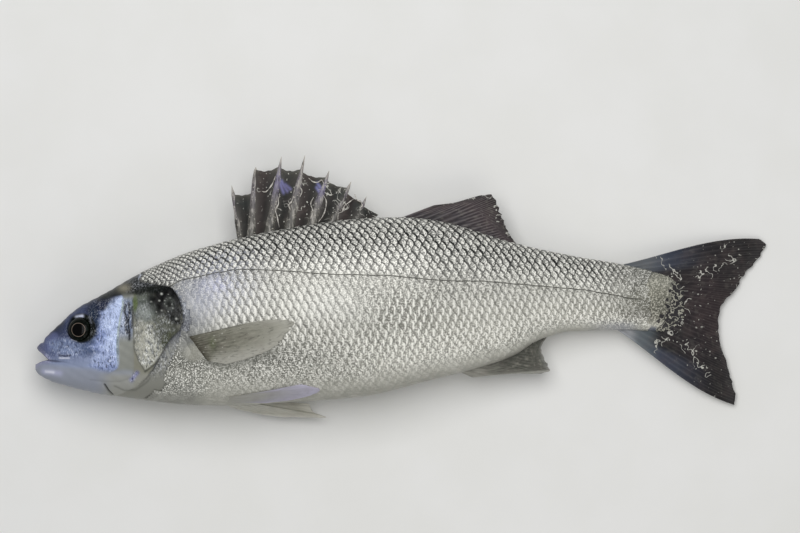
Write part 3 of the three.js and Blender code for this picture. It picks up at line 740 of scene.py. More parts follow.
def head_relief(share, height):
    """How far the head's surface stands out from the body's plain form, in millimetres: a sum of plates with
    soft edges, ridges and grooves that follow lines, each a smooth function of the distance to its line."""
    to_edge = side_of_head_edge(share, height)
    cheek_line = [(place, level) for level, place in CHEEK_EDGE]
    to_cheek = np.where(share < cheek_edge(height), 1, -1) * distance_to(cheek_line, share, height)
    eye_distance = np.hypot(share - EYE_AT[0], height - EYE_AT[1]) * MM
    cover = smooth_step(-0.3, 0.5, to_edge) * smooth_step(12.4, 15.5, share) * smooth_step(1.2, -0.4, height)
    cheek = smooth_step(-0.45, 0.45, to_cheek) * smooth_step(7, 10.5, share) * smooth_step(
        -0.6, -2.2, height) * smooth_step(-12.4, -10.8, height)
    ripple = np.sin(share * 4.1 + 1.3 * height) * np.sin(height * 3.3 - share) * smooth_step(
        0.5, 2, share) * smooth_step(-1, 0.5, to_edge)
    mouth = bump(distance_to(MOUTH_LINE, share, height), 0.7) * smooth_step(5, 2.2, share)
    relief = (
        1.1 * cover + 0.45 * smooth_step(-0.5, 0.6, depth_inside(OPERCLE, share, height)) + 0.75 * cheek
        + 0.35 * smooth_step(-0.9, 0.9, depth_inside(UPPER_JAW, share, height)) - 0.9 * mouth
        + 0.15 * bump(eye_distance - 8.8, 1.3) - 3.4 * smooth_step(7.7, 6.5, eye_distance) + 0.14 * ripple
        - SKIN_UNDER_SCALES * smooth_step(0.6, -1, to_edge))
    for line, width, rise in RELIEF_LINES:
        relief += rise * bump(distance_to(line, share, height), width)
    return relief


def head_colours(share, height):
    """The head's colours and how much its skin sparkles, from named colours laid over each other by smooth
    functions of the place."""
    depth = (back(share) - height) / np.maximum(back(share) - belly(share), 0.5)
    to_edge = side_of_head_edge(share, height)
    behind_cheek = share - cheek_edge(height)
    wave = 0.45 * np.sin(2.3 * height + 1) + 0.3 * np.sin(5.1 * height)
    eye_distance = np.hypot(share - EYE_AT[0] - 0.42, height - EYE_AT[1] - 0.05) * MM
    sparkle = 0.35 * smooth_step(0.05, 0.25, depth) * smooth_step(0.72, 0.5, depth)
    colours, sparkle = paint_patches(colour_along(depth, HEAD_TONES), sparkle, HEAD_PATCHES, share, height)

    cheek = smooth_step(7.5, 9.2, share + wave) * smooth_step(0.1, -0.1, behind_cheek) * smooth_step(
        -1.2, -2.1, height + 0.45 * (10.8 - share)) * smooth_step(-12.4, -10.4, height)
    bright = cheek * smooth_step(8.4, 10.2, share + 0.5 * wave) * smooth_step(-11.2, -7.6, height)
    cheek_rim = bump((behind_cheek + 0.12) * MM, 0.5) * smooth_step(-11.2, -10, height)
    colours = tint(colours, ("#96a6d4", cheek), ("#cad9fb", 0.9 * bright),
                   ("#8f9b70", 0.75 * cheek_rim * smooth_step(-1.4, -2.2, height)))
    sparkle = np.maximum(sparkle, cheek * (1 - 0.35 * bright))
    colours, sparkle = paint_patches(colours, sparkle, CHEEK_PATCHES, share, height)
    colours = paint_lines(colours, BROW, share, height)

    jaw = smooth_step(-9.9, -10.8, height + 0.13 * share) * smooth_step(11.5, 9, share)
    lips = np.maximum(bump(distance_to(UPPER_LIP, share, height), 1.5),
                      0.8 * bump(distance_to(LOWER_LIP, share, height), 1.4))
    colours = tint(colours, ("#989daa", 0.85 * jaw), ("#a09fbb", 0.8 * lips),
                   ("#4c5168", 0.6 * smooth_step(2, 0.5, share) * smooth_step(-10.6, -9.6, height)))
    sparkle *= 1 - 0.9 * jaw
    colours = paint_lines(colours, JAW_HIGHLIGHTS_AND_GROOVE_SHADE, share, height)
    # Painted shade: a dark line in the front of the mouth's groove.
    mouth = bump(distance_to(MOUTH_LINE[:3], share, height), 0.5) * smooth_step(4.2, 2.4, share)
    strip = smooth_step(-0.1, 0.15, behind_cheek) * smooth_step(13.9, 13.3, share) * smooth_step(
        -12.2, -11, height)
    upper_strip = strip * smooth_step(-7.8, -5.5, height) * smooth_step(-1.2, -2.2, height)
    colours = tint(colours, ("#4d4f60", 0.8 * mouth), ("#92948e", strip), ("#94a1be", 0.8 * upper_strip))
    sparkle = np.where(strip > 0.5, upper_strip, sparkle)
    colours = paint_lines(colours, DARK_STRIP_LINES, share, height)

    on_cover = smooth_step(-0.2, 0.2, to_edge) * smooth_step(13.2, 13.7, share) * smooth_step(0.4, 0, height)
    plate = smooth_step(-0.4, 0.8, depth_inside(OPERCLE, share, height))
    throat = smooth_step(-11.2, -12.4, height) * smooth_step(8, 11, share)
    colours = tint(colours, ("#8d8c7f", on_cover), ("#8f8f82", plate),
                   # Painted highlight: a lighter spot low on the gill cover's plate.
                   ("#c6c6ba", 0.9 * plate * spot(share, height, 15.3, -8.6, 1.7, 3)),
                   ("#a2a29a", 0.85 * throat))
    sparkle = np.maximum(sparkle * (1 - on_cover), plate) * (1 - 0.9 * throat)
    colours, sparkle = paint_patches(
        colours, sparkle, COVER_PATCHES, share, height, smooth_step(-0.3, 0.3, to_edge))
    # Painted glints: small white dots on the gill cover.
    for x, y, radius in COVER_DOTS:
        drop = bump(np.hypot(share - x, height - y) * MM, 0.75 * radius)
        colours = tint(colours, ("#d9dbd4", min(1, 1.3 * radius) * drop))
    colours = paint_lines(colours, COVER_RIMS, share, height)

    nape = smooth_step(-1.9, -0.7, height - 0.3 * (share - 11.5)) * smooth_step(8, 9.5, share)
    nape = nape * (to_edge > -0.5)
    orbit = smooth_step(9.9, 8.2, eye_distance)
    nape_gleam = spot(share, height, 12.2, -0.2, 0.929, 0.591)
    colours = tint(colours, ("#191d20", nape), ("#969180", 0.8 * nape_gleam), ("#0d120e", orbit))
    colours = paint_lines(colours, EYE_GLINTS, share, height)
    sparkle = np.where(nape > 0.5, 0.75 * smooth_step(12, 13.5, share), sparkle)
    sparkle = np.where(orbit > 0.5, 0.35 * smooth_step(6.9, 7.5, share), sparkle)

    behind = smooth_step(0, -0.4, to_edge)
    colours = blend(colours, colour_along(height, SHOULDER_TONES), behind)
    dull = 1 - 0.6 * bump((height + 7) / 2, 1)
    sparkle = np.where(behind > 0.5, 0.95 * dull * smooth_step(-13.5, -10, height), sparkle)
    gill_line = [(place, level) for level, place in HEAD_EDGE[1:14]]
    shade = bump(distance_to(gill_line, share - 0.12, height), 0.75) * smooth_step(0.3, -0.1, to_edge)
    colours = tint(colours, ("#1f211f", 0.6 * shade * smooth_step(-14, -11, height)))
    colours = paint_lines(colours, THROAT_CREASE_SHADE, share, height)
    violet = bump(distance_to(VIOLET_STROKE, share, height), 1.3)
    return tint(colours, ("#8f92c4", 0.75 * violet)), np.clip(np.maximum(sparkle, violet), 0, 1)


def outline_arcs(share, angles):
    """For each ring, how far along its outline each of the angles is, in millimetres."""
    points = skin_point(share[:, None], angles[None, :])[..., 1:]
    steps = np.linalg.norm(np.diff(points, axis=1), axis=-1)
    return np.concatenate([np.zeros((len(share), 1)), np.cumsum(steps, 1)], 1)


def even_angles(share, count):
    """For each ring, angles from minus half a turn on that stand evenly along the ring's outline."""
    fine = np.linspace(-np.pi, np.pi, ANGLE_SAMPLES)
    arcs = outline_arcs(share, fine)
    wanted = np.arange(count) / count
    return np.stack([np.interp(wanted * arc[-1], arc, fine) for arc in arcs])


def body_rings(share, angle, swell):
    """Points of the body's skin raised by swell, never under the slab."""
    points = skin_point(share, angle) + skin_normal(share, angle) * swell[..., None]
    points[..., 2] = np.maximum(points[..., 2], SLAB_GAP)
    return points


def make_body_skin(name, points, along, material, colours, **values):
    """A closed skin over rings of points and two end points, with a bake map that goes along and round the
    body. Each value is given as a grid and its two end values."""
    rings, sides = along.shape
    bake = together(along, np.arange(sides) / sides)
    return make_piece(
        name, points, tube_faces(rings, sides, turned=True), material,
        bake_uv=with_ends(bake, (0, 0), (1, 1)), colours=with_ends(colours, colours[0, 0], colours[-1, 0]),
        values={key: with_ends(*value) for key, value in values.items()})


def make_head():
    """The head's skin: rings of the body's section that stand closer together towards the snout, evenly
    spaced points on each, raised by the head's relief. Points inside the open mouth's notch are set back to
    its edge, which makes the wall between the jaws; that wall is painted near-black as painted shade inside
    the mouth. The first ring is pressed flat at the notch's bottom."""
    t = np.linspace(0, 1, HEAD_RINGS)
    share = (0.02 + (HEAD_END - 0.02) * t ** 1.15)[:, None]
    angle = even_angles(share[:, 0], HEAD_SIDES)
    height = skin_point(share, angle)[..., 1] / MM
    places = np.broadcast_to(share, angle.shape)
    rings = body_rings(share, angle, head_relief(places, height) * smooth_step(0, 1, places))
    notch = lengthwise(profile(MOUTH_NOTCH)(rings[..., 1] / MM))
    colours, sparkle = head_colours(places, height)
    # Painted shade: the wall inside the mouth's notch is near-black.
    colours = tint(colours, ("#151216", (rings[..., 0] < notch).astype(float)))
    rings[..., 0] = np.maximum(rings[..., 0], notch)
    middle = rings[0, :, 2].mean()
    rings[0, :, 2] = middle + 0.05 * (rings[0, :, 2] - middle)
    points = with_middles(rings)
    notch_height, notch_share = max(MOUTH_NOTCH, key=lambda point: point[1])
    points[-2, :2] = lengthwise(notch_share), notch_height * MM
    return make_body_skin(
        "head_skin", points, places / HEAD_END, head_material(), colours, sparkle=(sparkle, 0, 0))


# ---- The trunk and its scales ----

TRUNK_RINGS, TRUNK_SIDES = 200, 170
# How long a scale shows, and how high a row of them is, in millimetres at shares of the length.
length_below = profile([
    (10, 2.9), (18, 3.5), (22, 4.2), (28, 4.9), (55, 4.9), (66, 4.5), (75, 4.3), (83, 3.6), (90, 3.4)])
length_above = profile([
    (10, 2.3), (15, 2.5), (19, 3.1), (23, 3.9), (28, 4.7), (55, 4.9), (66, 4.5), (75, 4.3), (83, 3.6),
    (90, 3.4)])
row_below = profile([
    (10, 3.6), (18, 4.4), (23, 5.5), (47, 5.7), (52, 5.2), (66, 4.4), (75, 3.6), (83, 3), (90, 2.8)])
row_above = profile([
    (10, 2), (15, 2.3), (20, 2.9), (28, 4), (55, 4.3), (66, 4), (75, 3.4), (83, 3), (90, 2.8)])
ROWS_SHRINK = 0.012  # rows below the lateral line get lower towards the belly
# Where the lattice's tables have their entries: shares of the length, angles round the body and, in
# millimetres, arcs up from the lateral line.
TABLE_SHARES, TABLE_ANGLES, TABLE_ARCS = (
    np.linspace(9, 90, 325), np.linspace(-1.85, 1.85, 741), np.linspace(-150, 90, 481))

# Silver from the belly (-1) over the lateral line (0) to the back (1), and the tail's base by height.
FLANK_TONES = [(-1, "#9f9e94"), (-0.9, "#bcbbb0"), (-0.7, "#b4b3a8"), (-0.45, "#adaca1"), (-0.2, "#afaea5"),
               (-0.03, "#a9a8a0"), (0.15, "#8c8c86"), (0.5, "#6f6f6c"), (0.8, "#595a57"), (1, "#3e403e")]
TAIL_BASE_TONES = [(-5, "#615f55"), (-4, "#615f55"), (-2.9, "#6c6b60"), (-1.8, "#78776b"), (-0.75, "#868578"),
                   (0.34, "#929185"), (1.4, "#a6a598")]
# How much of each part of the scales' pattern shows at a level from the belly to the back: levels, amounts.
# net: dark pigment and painted shadow; gap: painted shade; rim and dash: painted highlights; fleck: painted
# glints and dark pits.
PATTERN_LEVELS = {
    "net": ([-1, -0.85, -0.5, -0.05, 0.05, 0.3, 0.6, 1], [0, 0.08, 0.2, 0.4, 0.5, 0.8, 1, 1]),
    "gap": ([-1, -0.85, -0.5, -0.05, 0.05, 1], [0.1, 0.2, 0.7, 0.75, 0.4, 0.3]),
    "rim": ([-1, -0.8, -0.5, -0.3, 0, 0.1, 1], [0, 0.15, 0.2, 0.3, 0.5, 0.9, 1]),
    "dash": ([-1, -0.85, -0.6, -0.2, 0, 0.1], [0, 0.35, 1, 0.6, 0.4, 0]),
    "fleck": ([-1, -0.9, -0.8, -0.6, -0.4, 0, 0.3, 1], [0, 0.2, 0.9, 0.8, 0.4, 0.4, 0.6, 0.6]),
}
UNDER_PECTORAL = [(23.6, -10.2), (26.2, -10.9), (29.2, -10.1), (32.8, -8.7)]


def level_on_flank(share, height):
    """1 on the back, 0 on the lateral line and -1 on the belly."""
    line = lateral_line(share)
    above = (height - line) / np.maximum(back(share) - line, 0.3)
    below = (height - line) / np.maximum(line - belly(share), 0.3)
    return np.clip(np.where(height > line, above, below), -1.2, 1.2)


def trunk_colours(share, height):
    """Silver of the trunk: grey on the back, nearly white under the lateral line, greyer to the belly, with
    broad lighter and darker places along the fish. Among them are painted light and shade: a pale painted
    highlight on the flank under the lateral line, a band of painted shade low on the front half of the flank
    and a small lavender painted highlight behind the gill cover."""
    level = level_on_flank(share, height)
    at = functools.partial(spot, share, height)
    bare_spot = smooth_step(1.2, 0.6, np.hypot((share - 21.9) / 1.5, (height + 9) / 1.4))
    blue = bump((share - 25) / 5, 1) * smooth_step(-0.5, -0.1, level) * smooth_step(0.9, 0.5, level)
    colours = tint(
        colour_along(level, FLANK_TONES),
        ("#6d6c62", 0.85 * at(48.3, -3.2, 7.4, 4.6)), ("#8d8d88", 0.35 * at(29, -1, 4.5, 2.2)),
        ("#6f7276", 0.4 * at(22.3, -3.6, 1.8, 2.5)),
        ("#b9b9b2", 0.3 * smooth_step(33, 40, share) * smooth_step(66, 58, share) * bump(level - 0.45, 0.35)),
        # Painted highlight: the pale pool on the flank under the lateral line (#dadad3).
        ("#dadad3", 0.85 * at(39.3, -2.3, 5.6, 3.3)), ("#dddcd2", 0.45 * at(66, -4.2, 9, 2.6)),
        ("#cfcfc3", 0.5 * at(71, 1, 6.5, 2.4)), ("#e3e2da", 0.3 * at(52, -8.5, 7, 2.6)),
        # Painted shade: the darker band low on the front half of the flank.
        ("#5b5c54", 0.85 * smooth_step(50, 32, share) * bump(height + 9.7, 2.5)),
        ("#777a7c", 0.7 * smooth_step(26, 21, share) * (level < 0) * smooth_step(-9.5, -7, height)),
        ("#26282a", 0.7 * smooth_step(21, 16, share) * smooth_step(0, 0.2, level)),
        ("#5f605d", 0.7 * at(21.2, -6.6, 1.6, 1.5)), ("#a09f94", 0.8 * bare_spot),
        ("#7b7c76", 0.6 * smooth_step(24, 21, share) * smooth_step(-11.5, -13, height)),
        # Painted highlight: the small lavender spot behind the gill cover (#b4b6e2).
        ("#b4b6e2", 0.7 * at(25, 0.3, 1.7, 0.9)), ("#a9aec8", 0.6 * blue))
    turning = smooth_step(75, 83, share) * smooth_step(-0.9, -0.5, level)
    colours = blend(colours, colour_along(height, TAIL_BASE_TONES), turning)
    belly_end = smooth_step(74, 80, share) * smooth_step(83.5, 80.5, share) * smooth_step(-0.6, -0.9, level)
    return np.clip(tint(
        colours, ("#62625a", 0.7 * at(81.8, 0.6, 1.8, 1.6)), ("#9a9ca4", 0.8 * belly_end),
        ("#4c4d49", 0.6 * smooth_step(74, 79, share) * smooth_step(0.4, 0.8, level))), 0, 1)


def make_trunk():
    """The skin under and between the scales, the bare belly's edge and the tail's base: rings of the body's
    section, a little under the scales."""
    share = np.linspace(TRUNK_START, TRUNK_END, TRUNK_RINGS)[:, None]
    angle = even_angles(share[:, 0], TRUNK_SIDES)
    places = np.broadcast_to(share, angle.shape)
    height = skin_point(share, angle)[..., 1] / MM
    rings = body_rings(share, angle, -SKIN_UNDER_SCALES * (1 - smooth_step(83, 86, places)))
    lower_lobe = smooth_step(-4.7, -5.3, height + 0.22 * (places - 82)) * smooth_step(77, 80, places)
    colours = tint(
        trunk_colours(places, height), ("#a6a9b0", lower_lobe * smooth_step(86, 82.5, places)),
        ("#4d5362", lower_lobe * smooth_step(82.5, 85, places)),
        ("#a9a89a", 0.6 * spot(places, height, 85.4, 0.8, 1.9, 1.2)))
    sparkle = np.maximum(0.25, 0.55 * smooth_step(78, 81, places)) * (1 - lower_lobe)
    fin_begins = 0.2 + 0.6 * smooth_step(
        85.2, 88, places + 0.05 * (height - 0.2) ** 2 * (height < 0.2) - 0.9 * smooth_step(-0.5, 0.8, height))
    along = (places - TRUNK_START) / (TRUNK_END - TRUNK_START)
    return make_body_skin(
        "trunk_skin", with_middles(rings), along, trunk_material(), colours, sparkle=(sparkle, 0, 0),
        fin_begins=(fin_begins, 0, 1))


def lattice_tables(scale_length):
    """Tables that turn a scale's place into the body's share and angle: the count of scales along the fish
    over shares, and for each share the angle at each arc up from the lateral line and the arcs at which the
    belly and the back lie."""
    share = TABLE_SHARES
    step = np.diff(share) * MM / scale_length((share[1:] + share[:-1]) / 2)
    count = np.append(0, np.cumsum(step))
    arcs = outline_arcs(share, TABLE_ANGLES)
    widest, up, down, _, _ = section(share)
    sine = lateral_line(share) * MM - widest
    sine = np.clip(sine / np.where(sine > 0, up, down), -1, 1)
    zero = np.array([np.interp(a, TABLE_ANGLES, arc) for a, arc in zip(np.arcsin(sine), arcs)])
    arcs = arcs - zero[:, None]
    angles = np.stack([np.interp(TABLE_ARCS, arc, TABLE_ANGLES) for arc in arcs])
    ends = np.stack([np.interp((-np.pi / 2, np.pi / 2), TABLE_ANGLES, arc) for arc in arcs])
    return count, angles, ends


def table_place(entries, value):
    """The number of the table entry before a value, and how far it is on the way to the next one."""
    place = np.clip((value - entries[0]) / (entries[1] - entries[0]), 0, len(entries) - 1.001)
    return place.astype(int), place % 1


def angle_at(angles, share, arc):
    """The body's angle at an arc up from the lateral line: between the four nearest table entries."""
    (i, u), (j, v) = table_place(TABLE_SHARES, share), table_place(TABLE_ARCS, arc)
    return (angles[i, j] * (1 - u) * (1 - v) + angles[i + 1, j] * u * (1 - v)
            + angles[i, j + 1] * (1 - u) * v + angles[i + 1, j + 1] * u * v)


def arc_of_row(share, row):
    """How far along the section's outline a row stands from the lateral line, up or down, in millimetres."""
    return np.where(row > 0, row * row_above(share), row * row_below(share) * (1 + ROWS_SHRINK * row))


def skin_on_side(share, angle, lift, side, floor):
    """Points lifted off the body's skin, mirrored onto the right flank for side -1, never below a floor."""
    points = skin_point(share, angle) + skin_normal(share, angle) * lift[..., None]
    if side < 0:
        points[..., 2] = 2 * middle_height(share) * MM - points[..., 2]
    points[..., 2] = np.maximum(points[..., 2], floor)
    return points


def scale_pattern(share, height, level):
    """How strongly the parts of the scales' pattern show: by the level on the flank, then weaker or stronger
    in some places."""
    shows = {part: np.interp(level, *table) for part, table in PATTERN_LEVELS.items()}

    def weaken(where, **losses):
        for part, loss in losses.items():
            shows[part] = shows[part] * (1 - loss * where)

    in_front = smooth_step(28.5, 22, share) * (level < 0)
    soft = spot(share, height, 47.5, -2.6, 8, 3.2) * (level < 0)
    rear = smooth_step(38, 52, share) * (level < 0) * (level > -0.8)
    near_line = smooth_step(-0.3, -0.05, level) * (level < 0)
    wedge = np.maximum(smooth_step(1.2, 0.7, np.hypot((share - 21.6) / 1.9, (height + 8.4) / 2)),
                       0.8 * bump(distance_to(UNDER_PECTORAL, share, height), 2.6))
    weaken(in_front, rim=0.9, dash=0.7, net=0.85, gap=0.8)
    weaken(soft, net=0.6, gap=0.65, rim=0.4, dash=0.5)
    # Fewer dashes of painted highlight in the band of painted shade low on the flank.
    weaken(smooth_step(50, 34, share) * bump(height + 9.8, 2.6), dash=0.6)
    shows["fleck"] = np.maximum.reduce([
        shows["fleck"] + 0.35 * soft, 0.36 * smooth_step(74, 80, share),
        in_front * smooth_step(-9, -12, height) * smooth_step(-0.97, -0.85, level)])
    weaken(wedge, fleck=0.9, rim=0.8, dash=0.8, net=0.8, gap=0.8)
    weaken(in_front * smooth_step(-8, -6, height), fleck=0.6)
    shows["dash"] = np.maximum(shows["dash"], 0.9 * rear)
    weaken(near_line, dash=0.5, rim=0.4)
    shows["fleck"] = shows["fleck"] + 0.25 * near_line
    weaken(rear, gap=0.4)
    fade = smooth_step(85, 76, share) * np.interp(share, [14, 22], [0.8, 1])
    weaken(1 - fade, net=1, gap=1, rim=1, dash=1)
    return shows


# A scale's grid: directions round its middle, and shares of the way from its covered front to its free edge.
SCALE_SWEEPS = np.linspace(-np.pi / 2, np.pi / 2, 9)
SCALE_STEPS = np.array([0, 0.45, 0.8, 1])
SCALE_FRONT = -0.8  # in scale lengths from its middle
# How far a scale climbs in its own length, falls off to its sides and is bevelled, in millimetres.
SCALE_RISE, SCALE_CROWN, SCALE_BEVEL = 0.42, 0.1, 0.22
SCALE_CUTS = math.radians(60)  # edges sharper than this stay sharp


def make_scales(name, tables, side, rows, material, seed):
    """Scales of the rows given, counted up from the lateral line. Each is a thin plate whose free edge is half
    an ellipse as long as the scale and two rows high; it climbs towards that edge, falls off to its sides and
    is bevelled along it. A scale's own coordinates, lengths along and rows across, are laid on the body's
    skin by the tables, so that the plates follow its curves and overlap like tiles."""
    count, angles, body_ends = tables
    random = np.random.default_rng(seed)
    row, along = np.meshgrid(np.array(rows, float), np.arange(math.ceil(count[0]), math.floor(count[-1])))
    along = (along + (SCALE_SHIFT * row) % 1).ravel()
    row = row.ravel()
    share = np.interp(along, count, TABLE_SHARES)
    arc = arc_of_row(share, row)
    lowest, highest = (np.interp(share, TABLE_SHARES, end) for end in body_ends.T)
    height = skin_point(share, angle_at(angles, share, arc))[..., 1] / MM
    keep = (arc > lowest + 0.2 * row_below(share)) & (arc < highest + 0.1 * row_above(share))
    keep &= share > head_edge(height) + bare_band(height) + 0.25 * random.random(len(share))
    keep &= share < SCALES_END - 0.8 * random.random(len(share))
    along, row = along[keep], row[keep]
    number = len(along)

    b = (np.sin(SCALE_SWEEPS)[None, :] * np.ones((len(SCALE_STEPS), 1))).ravel()
    a = (SCALE_FRONT + SCALE_STEPS[:, None] * (np.cos(SCALE_SWEEPS)[None, :] - 0.5 - SCALE_FRONT)).ravel()
    jitter = np.clip(random.normal(0, 1, (number, 4)), -1.5, 1.5)
    place = along[:, None] + a[None, :] + 0.04 * jitter[:, 1:2]
    across = row[:, None] + b[None, :] * (1 + 0.03 * jitter[:, :1])
    share = np.interp(place, count, TABLE_SHARES)
    angle = angle_at(angles, share, arc_of_row(share, across))
    height = skin_point(share, angle)[..., 1] / MM
    level = level_on_flank(share, height)
    calm = smooth_step(-1, -0.3, level) * smooth_step(86, 80, share) * smooth_step(10, 24, share) * (
        1 - 0.55 * smooth_step(28.5, 22, share) * smooth_step(0.05, -0.1, level))
    at_edge = (SCALE_STEPS.repeat(len(SCALE_SWEEPS)) == 1)[None, :]
    lift = 0.12 + calm * (SCALE_RISE * (a + 0.5)[None, :] - SCALE_CROWN * (b * b)[None, :]
                          - SCALE_BEVEL * at_edge + 0.05 * jitter[:, 2:3] * (a - SCALE_FRONT)[None, :])
    floor_at = 0.03 + 0.04 * (a - SCALE_FRONT)[None, :]
    points = skin_on_side(share, angle, np.maximum(lift, -0.35), side, floor_at)

    uv = np.broadcast_to(together(a, b)[None], points.shape[:2] + (2,))
    cells = math.ceil(math.sqrt(number))
    cell = together(np.arange(number) % cells, np.arange(number) // cells)[:, None, :]
    inside = together((a - SCALE_FRONT) / (0.5 - SCALE_FRONT), (b + 1) / 2)[None]
    piece = make_piece(
        name, points, plate_faces(len(SCALE_STEPS), len(SCALE_SWEEPS), number, turned=side < 0), material,
        uv=uv, bake_uv=(cell + 0.06 + 0.88 * inside) / cells,
        colours=trunk_colours(share, height),
        values={**scale_pattern(share, height, level), "tone": jitter[:, 3:4] * (0.09 + 0.03 * (level > 0))})
    piece.data.set_sharp_from_angle(angle=SCALE_CUTS)
    return piece


# ---- Fins ----

# Spines of the first dorsal fin: root and tip, how far up each the skin before and behind it reaches as a
# share of its length, and half its thickness at the root in millimetres.
DORSAL_SPINES = [
    {"root": (28, 6.8), "tip": (26.8, 13.8), "before": 0, "behind": 0.83, "girth": 2},
    {"root": (29.5, 7.3), "tip": (30.1, 16.3), "before": 0.62, "behind": 0.96, "girth": 2.7},
    {"root": (32, 7.7), "tip": (33.6, 17.75), "before": 0.87, "behind": 0.85, "girth": 3.2},
    {"root": (34.7, 8.1), "tip": (36.8, 17.95), "before": 0.81, "behind": 0.77, "girth": 3.4},
    {"root": (37.7, 8.5), "tip": (40.1, 15.8), "before": 0.88, "behind": 0.83, "girth": 3.2},
    {"root": (40.6, 8.8), "tip": (43.1, 14.3), "before": 0.85, "behind": 0.74, "girth": 2.3},
    {"root": (43.9, 9.2), "tip": (45.2, 12.3), "before": 0.7, "behind": 0.6, "girth": 1.5},
]
DORSAL_WEB_END = {"root": (46.3, 9.2), "tip": (46.8, 9.8), "before": 1}
DORSAL_DROOP, WEB_DROOP = 3, 2.4  # how far the spines' tips and the skin's edge sink, in millimetres
WEB_LACE = (0.3, 0.36, 0.46, 0.45, 0.5, 0.56, 0.6)  # how much mucus hangs on each web
VIOLET_SPINES = (2, 4)
# Violet strokes on the skin behind a spine, by the spine's number: (share, height) points along each.
VIOLET_MARKS = {
    2: [[(33.2, 15.1), (33.4, 14.1), (33.9, 12.8)], [(33.6, 14.4), (34, 13.6), (34.4, 13)],
        [(34.1, 13.9), (34.8, 13.3)]],
    3: [[(38.5, 14.1), (38.9, 13.5)], [(38.4, 13.5), (38.8, 12.9)]],
}

SECOND_DORSAL = {
    "root": [(49.4, 9.2), (56.4, 8.1), (65, 5.6)],
    "tip": [(54.4, 11.1), (57.3, 11.5), (61, 12.5), (62.6, 12.5), (63.5, 10.4), (64.6, 7.5), (65.6, 5.9)],
    "rays": 13, "lean": 0.48,
}
ANAL_FIN = {
    "root": [(57.8, -11.6), (64, -9.2), (69.4, -6.6)],
    "tip": [(59.6, -12.4), (65, -11.95), (70.3, -11.55), (69.6, -9.9), (69.1, -8.3), (70.1, -6.6)],
    "rays": 11, "lean": 0.45,
}
TAIL_FIN = {
    "root": [(79.2, 2.8), (84, 1.2), (86.2, -1.9), (84, -5), (79.4, -5.9)],
    "tip": [(98.9, 6.5), (99.7, 6.25), (99.9, 5.7), (99.6, 4.9), (98.6, 3.4), (97.3, 2), (96.3, 0.5),
            (95.8, -0.5), (94.4, -1.8), (93.6, -3.2), (93.4, -5.3), (93.7, -8), (94.4, -10), (95.2, -12.8),
            (95.8, -15.5), (95.5, -16.2)],
    "rays": 17, "bow": 3.6,
}
PECTORAL_FIN = {
    "root": [(21.1, -6.8), (22.2, -8.4), (23.7, -10.1)],
    "tip": [(29.5, -4.8), (33.7, -4.4), (35.6, -4.8), (34.7, -6.3), (32.8, -8.3), (29.2, -9.8),
            (26.2, -10.6)],
    "rays": 15,
}
PELVIC_FIN_UP = {
    "root": [(26.4, -15), (26.2, -15.8)],
    "tip": [(33.3, -14.2), (36.8, -13.3), (39.1, -14.2), (36, -15.3), (31.5, -15.9)],
    "rays": 6,
}
PELVIC_FIN_DOWN = {
    "root": [(28, -15.4), (25.4, -16)],
    "tip": [(37.4, -16), (38.3, -17.2), (39.9, -17.9), (37, -17.95), (32.4, -17.75), (28, -16.9)],
    "rays": 6,
}
BOW_SHAPE = 6.75  # makes v * v * (1 - v) reach 1
RAY_WIDTH = 0.16  # of the way from one ray to the next


def curve_through(points):
    """A smooth curve through points, in millimetres, as a function of the share of its own length: centripetal
    cubics between each two points, measured by small steps."""
    known = np.array([(lengthwise(x), y * MM) for x, y in points], float)
    known = np.vstack([2 * known[0] - known[1], known, 2 * known[-1] - known[-2]])
    gaps = np.linalg.norm(np.diff(known, axis=0), axis=1) ** 0.5
    t = np.linspace(0, 1, 60)[:, None]
    pieces = []
    for i in range(1, len(known) - 2):
        p0, p1, p2, p3 = known[i - 1:i + 3]
        d0, d1, d2 = gaps[i - 1:i + 2]
        leave = ((p1 - p0) / d0 - (p2 - p0) / (d0 + d1) + (p2 - p1) / d1) * d1
        arrive = ((p2 - p1) / d1 - (p3 - p1) / (d1 + d2) + (p3 - p2) / d2) * d1
        pieces.append(p1 + leave * t + (3 * (p2 - p1) - 2 * leave - arrive) * t ** 2
                      + (2 * (p1 - p2) + leave + arrive) * t ** 3)
    path = np.concatenate(pieces)
    arc = np.append(0, np.cumsum(np.linalg.norm(np.diff(path, axis=0), axis=1)))
    return lambda at: np.stack([np.interp(at, arc / arc[-1], path[:, axis]) for axis in (0, 1)], -1)


def on_middle_plane(droop):
    """The middle plane's height over the slab, sinking by droop to the fin's free edge."""
    return lambda points, v: middle_height(share_of(points[..., 0])) * MM - droop * v * v


def along_flank(side, lift):
    """On the flank: the root just under the skin, the rest clear of it, and more so at the free edge."""
    def height(points, v):
        share = share_of(points[..., 0])
        stands = lift * v + 0.2 - 1.2 * smooth_step(0.06, 0, v)
        return middle_height(share) * MM + side * (flank_depth(share, points[..., 1]) + stands)
    return height


def hanging_below(start, end):
    """From one height over the slab at the root to another at the free edge, in millimetres."""
    return lambda points, v: start + (end - start) * v


def direction_and_aside(vectors):
    """Vectors of the picture's plane at length 1, and the same turned by a quarter."""
    direction = vectors / np.linalg.norm(vectors, axis=-1, keepdims=True)
    return direction, together(-direction[..., 1], direction[..., 0])


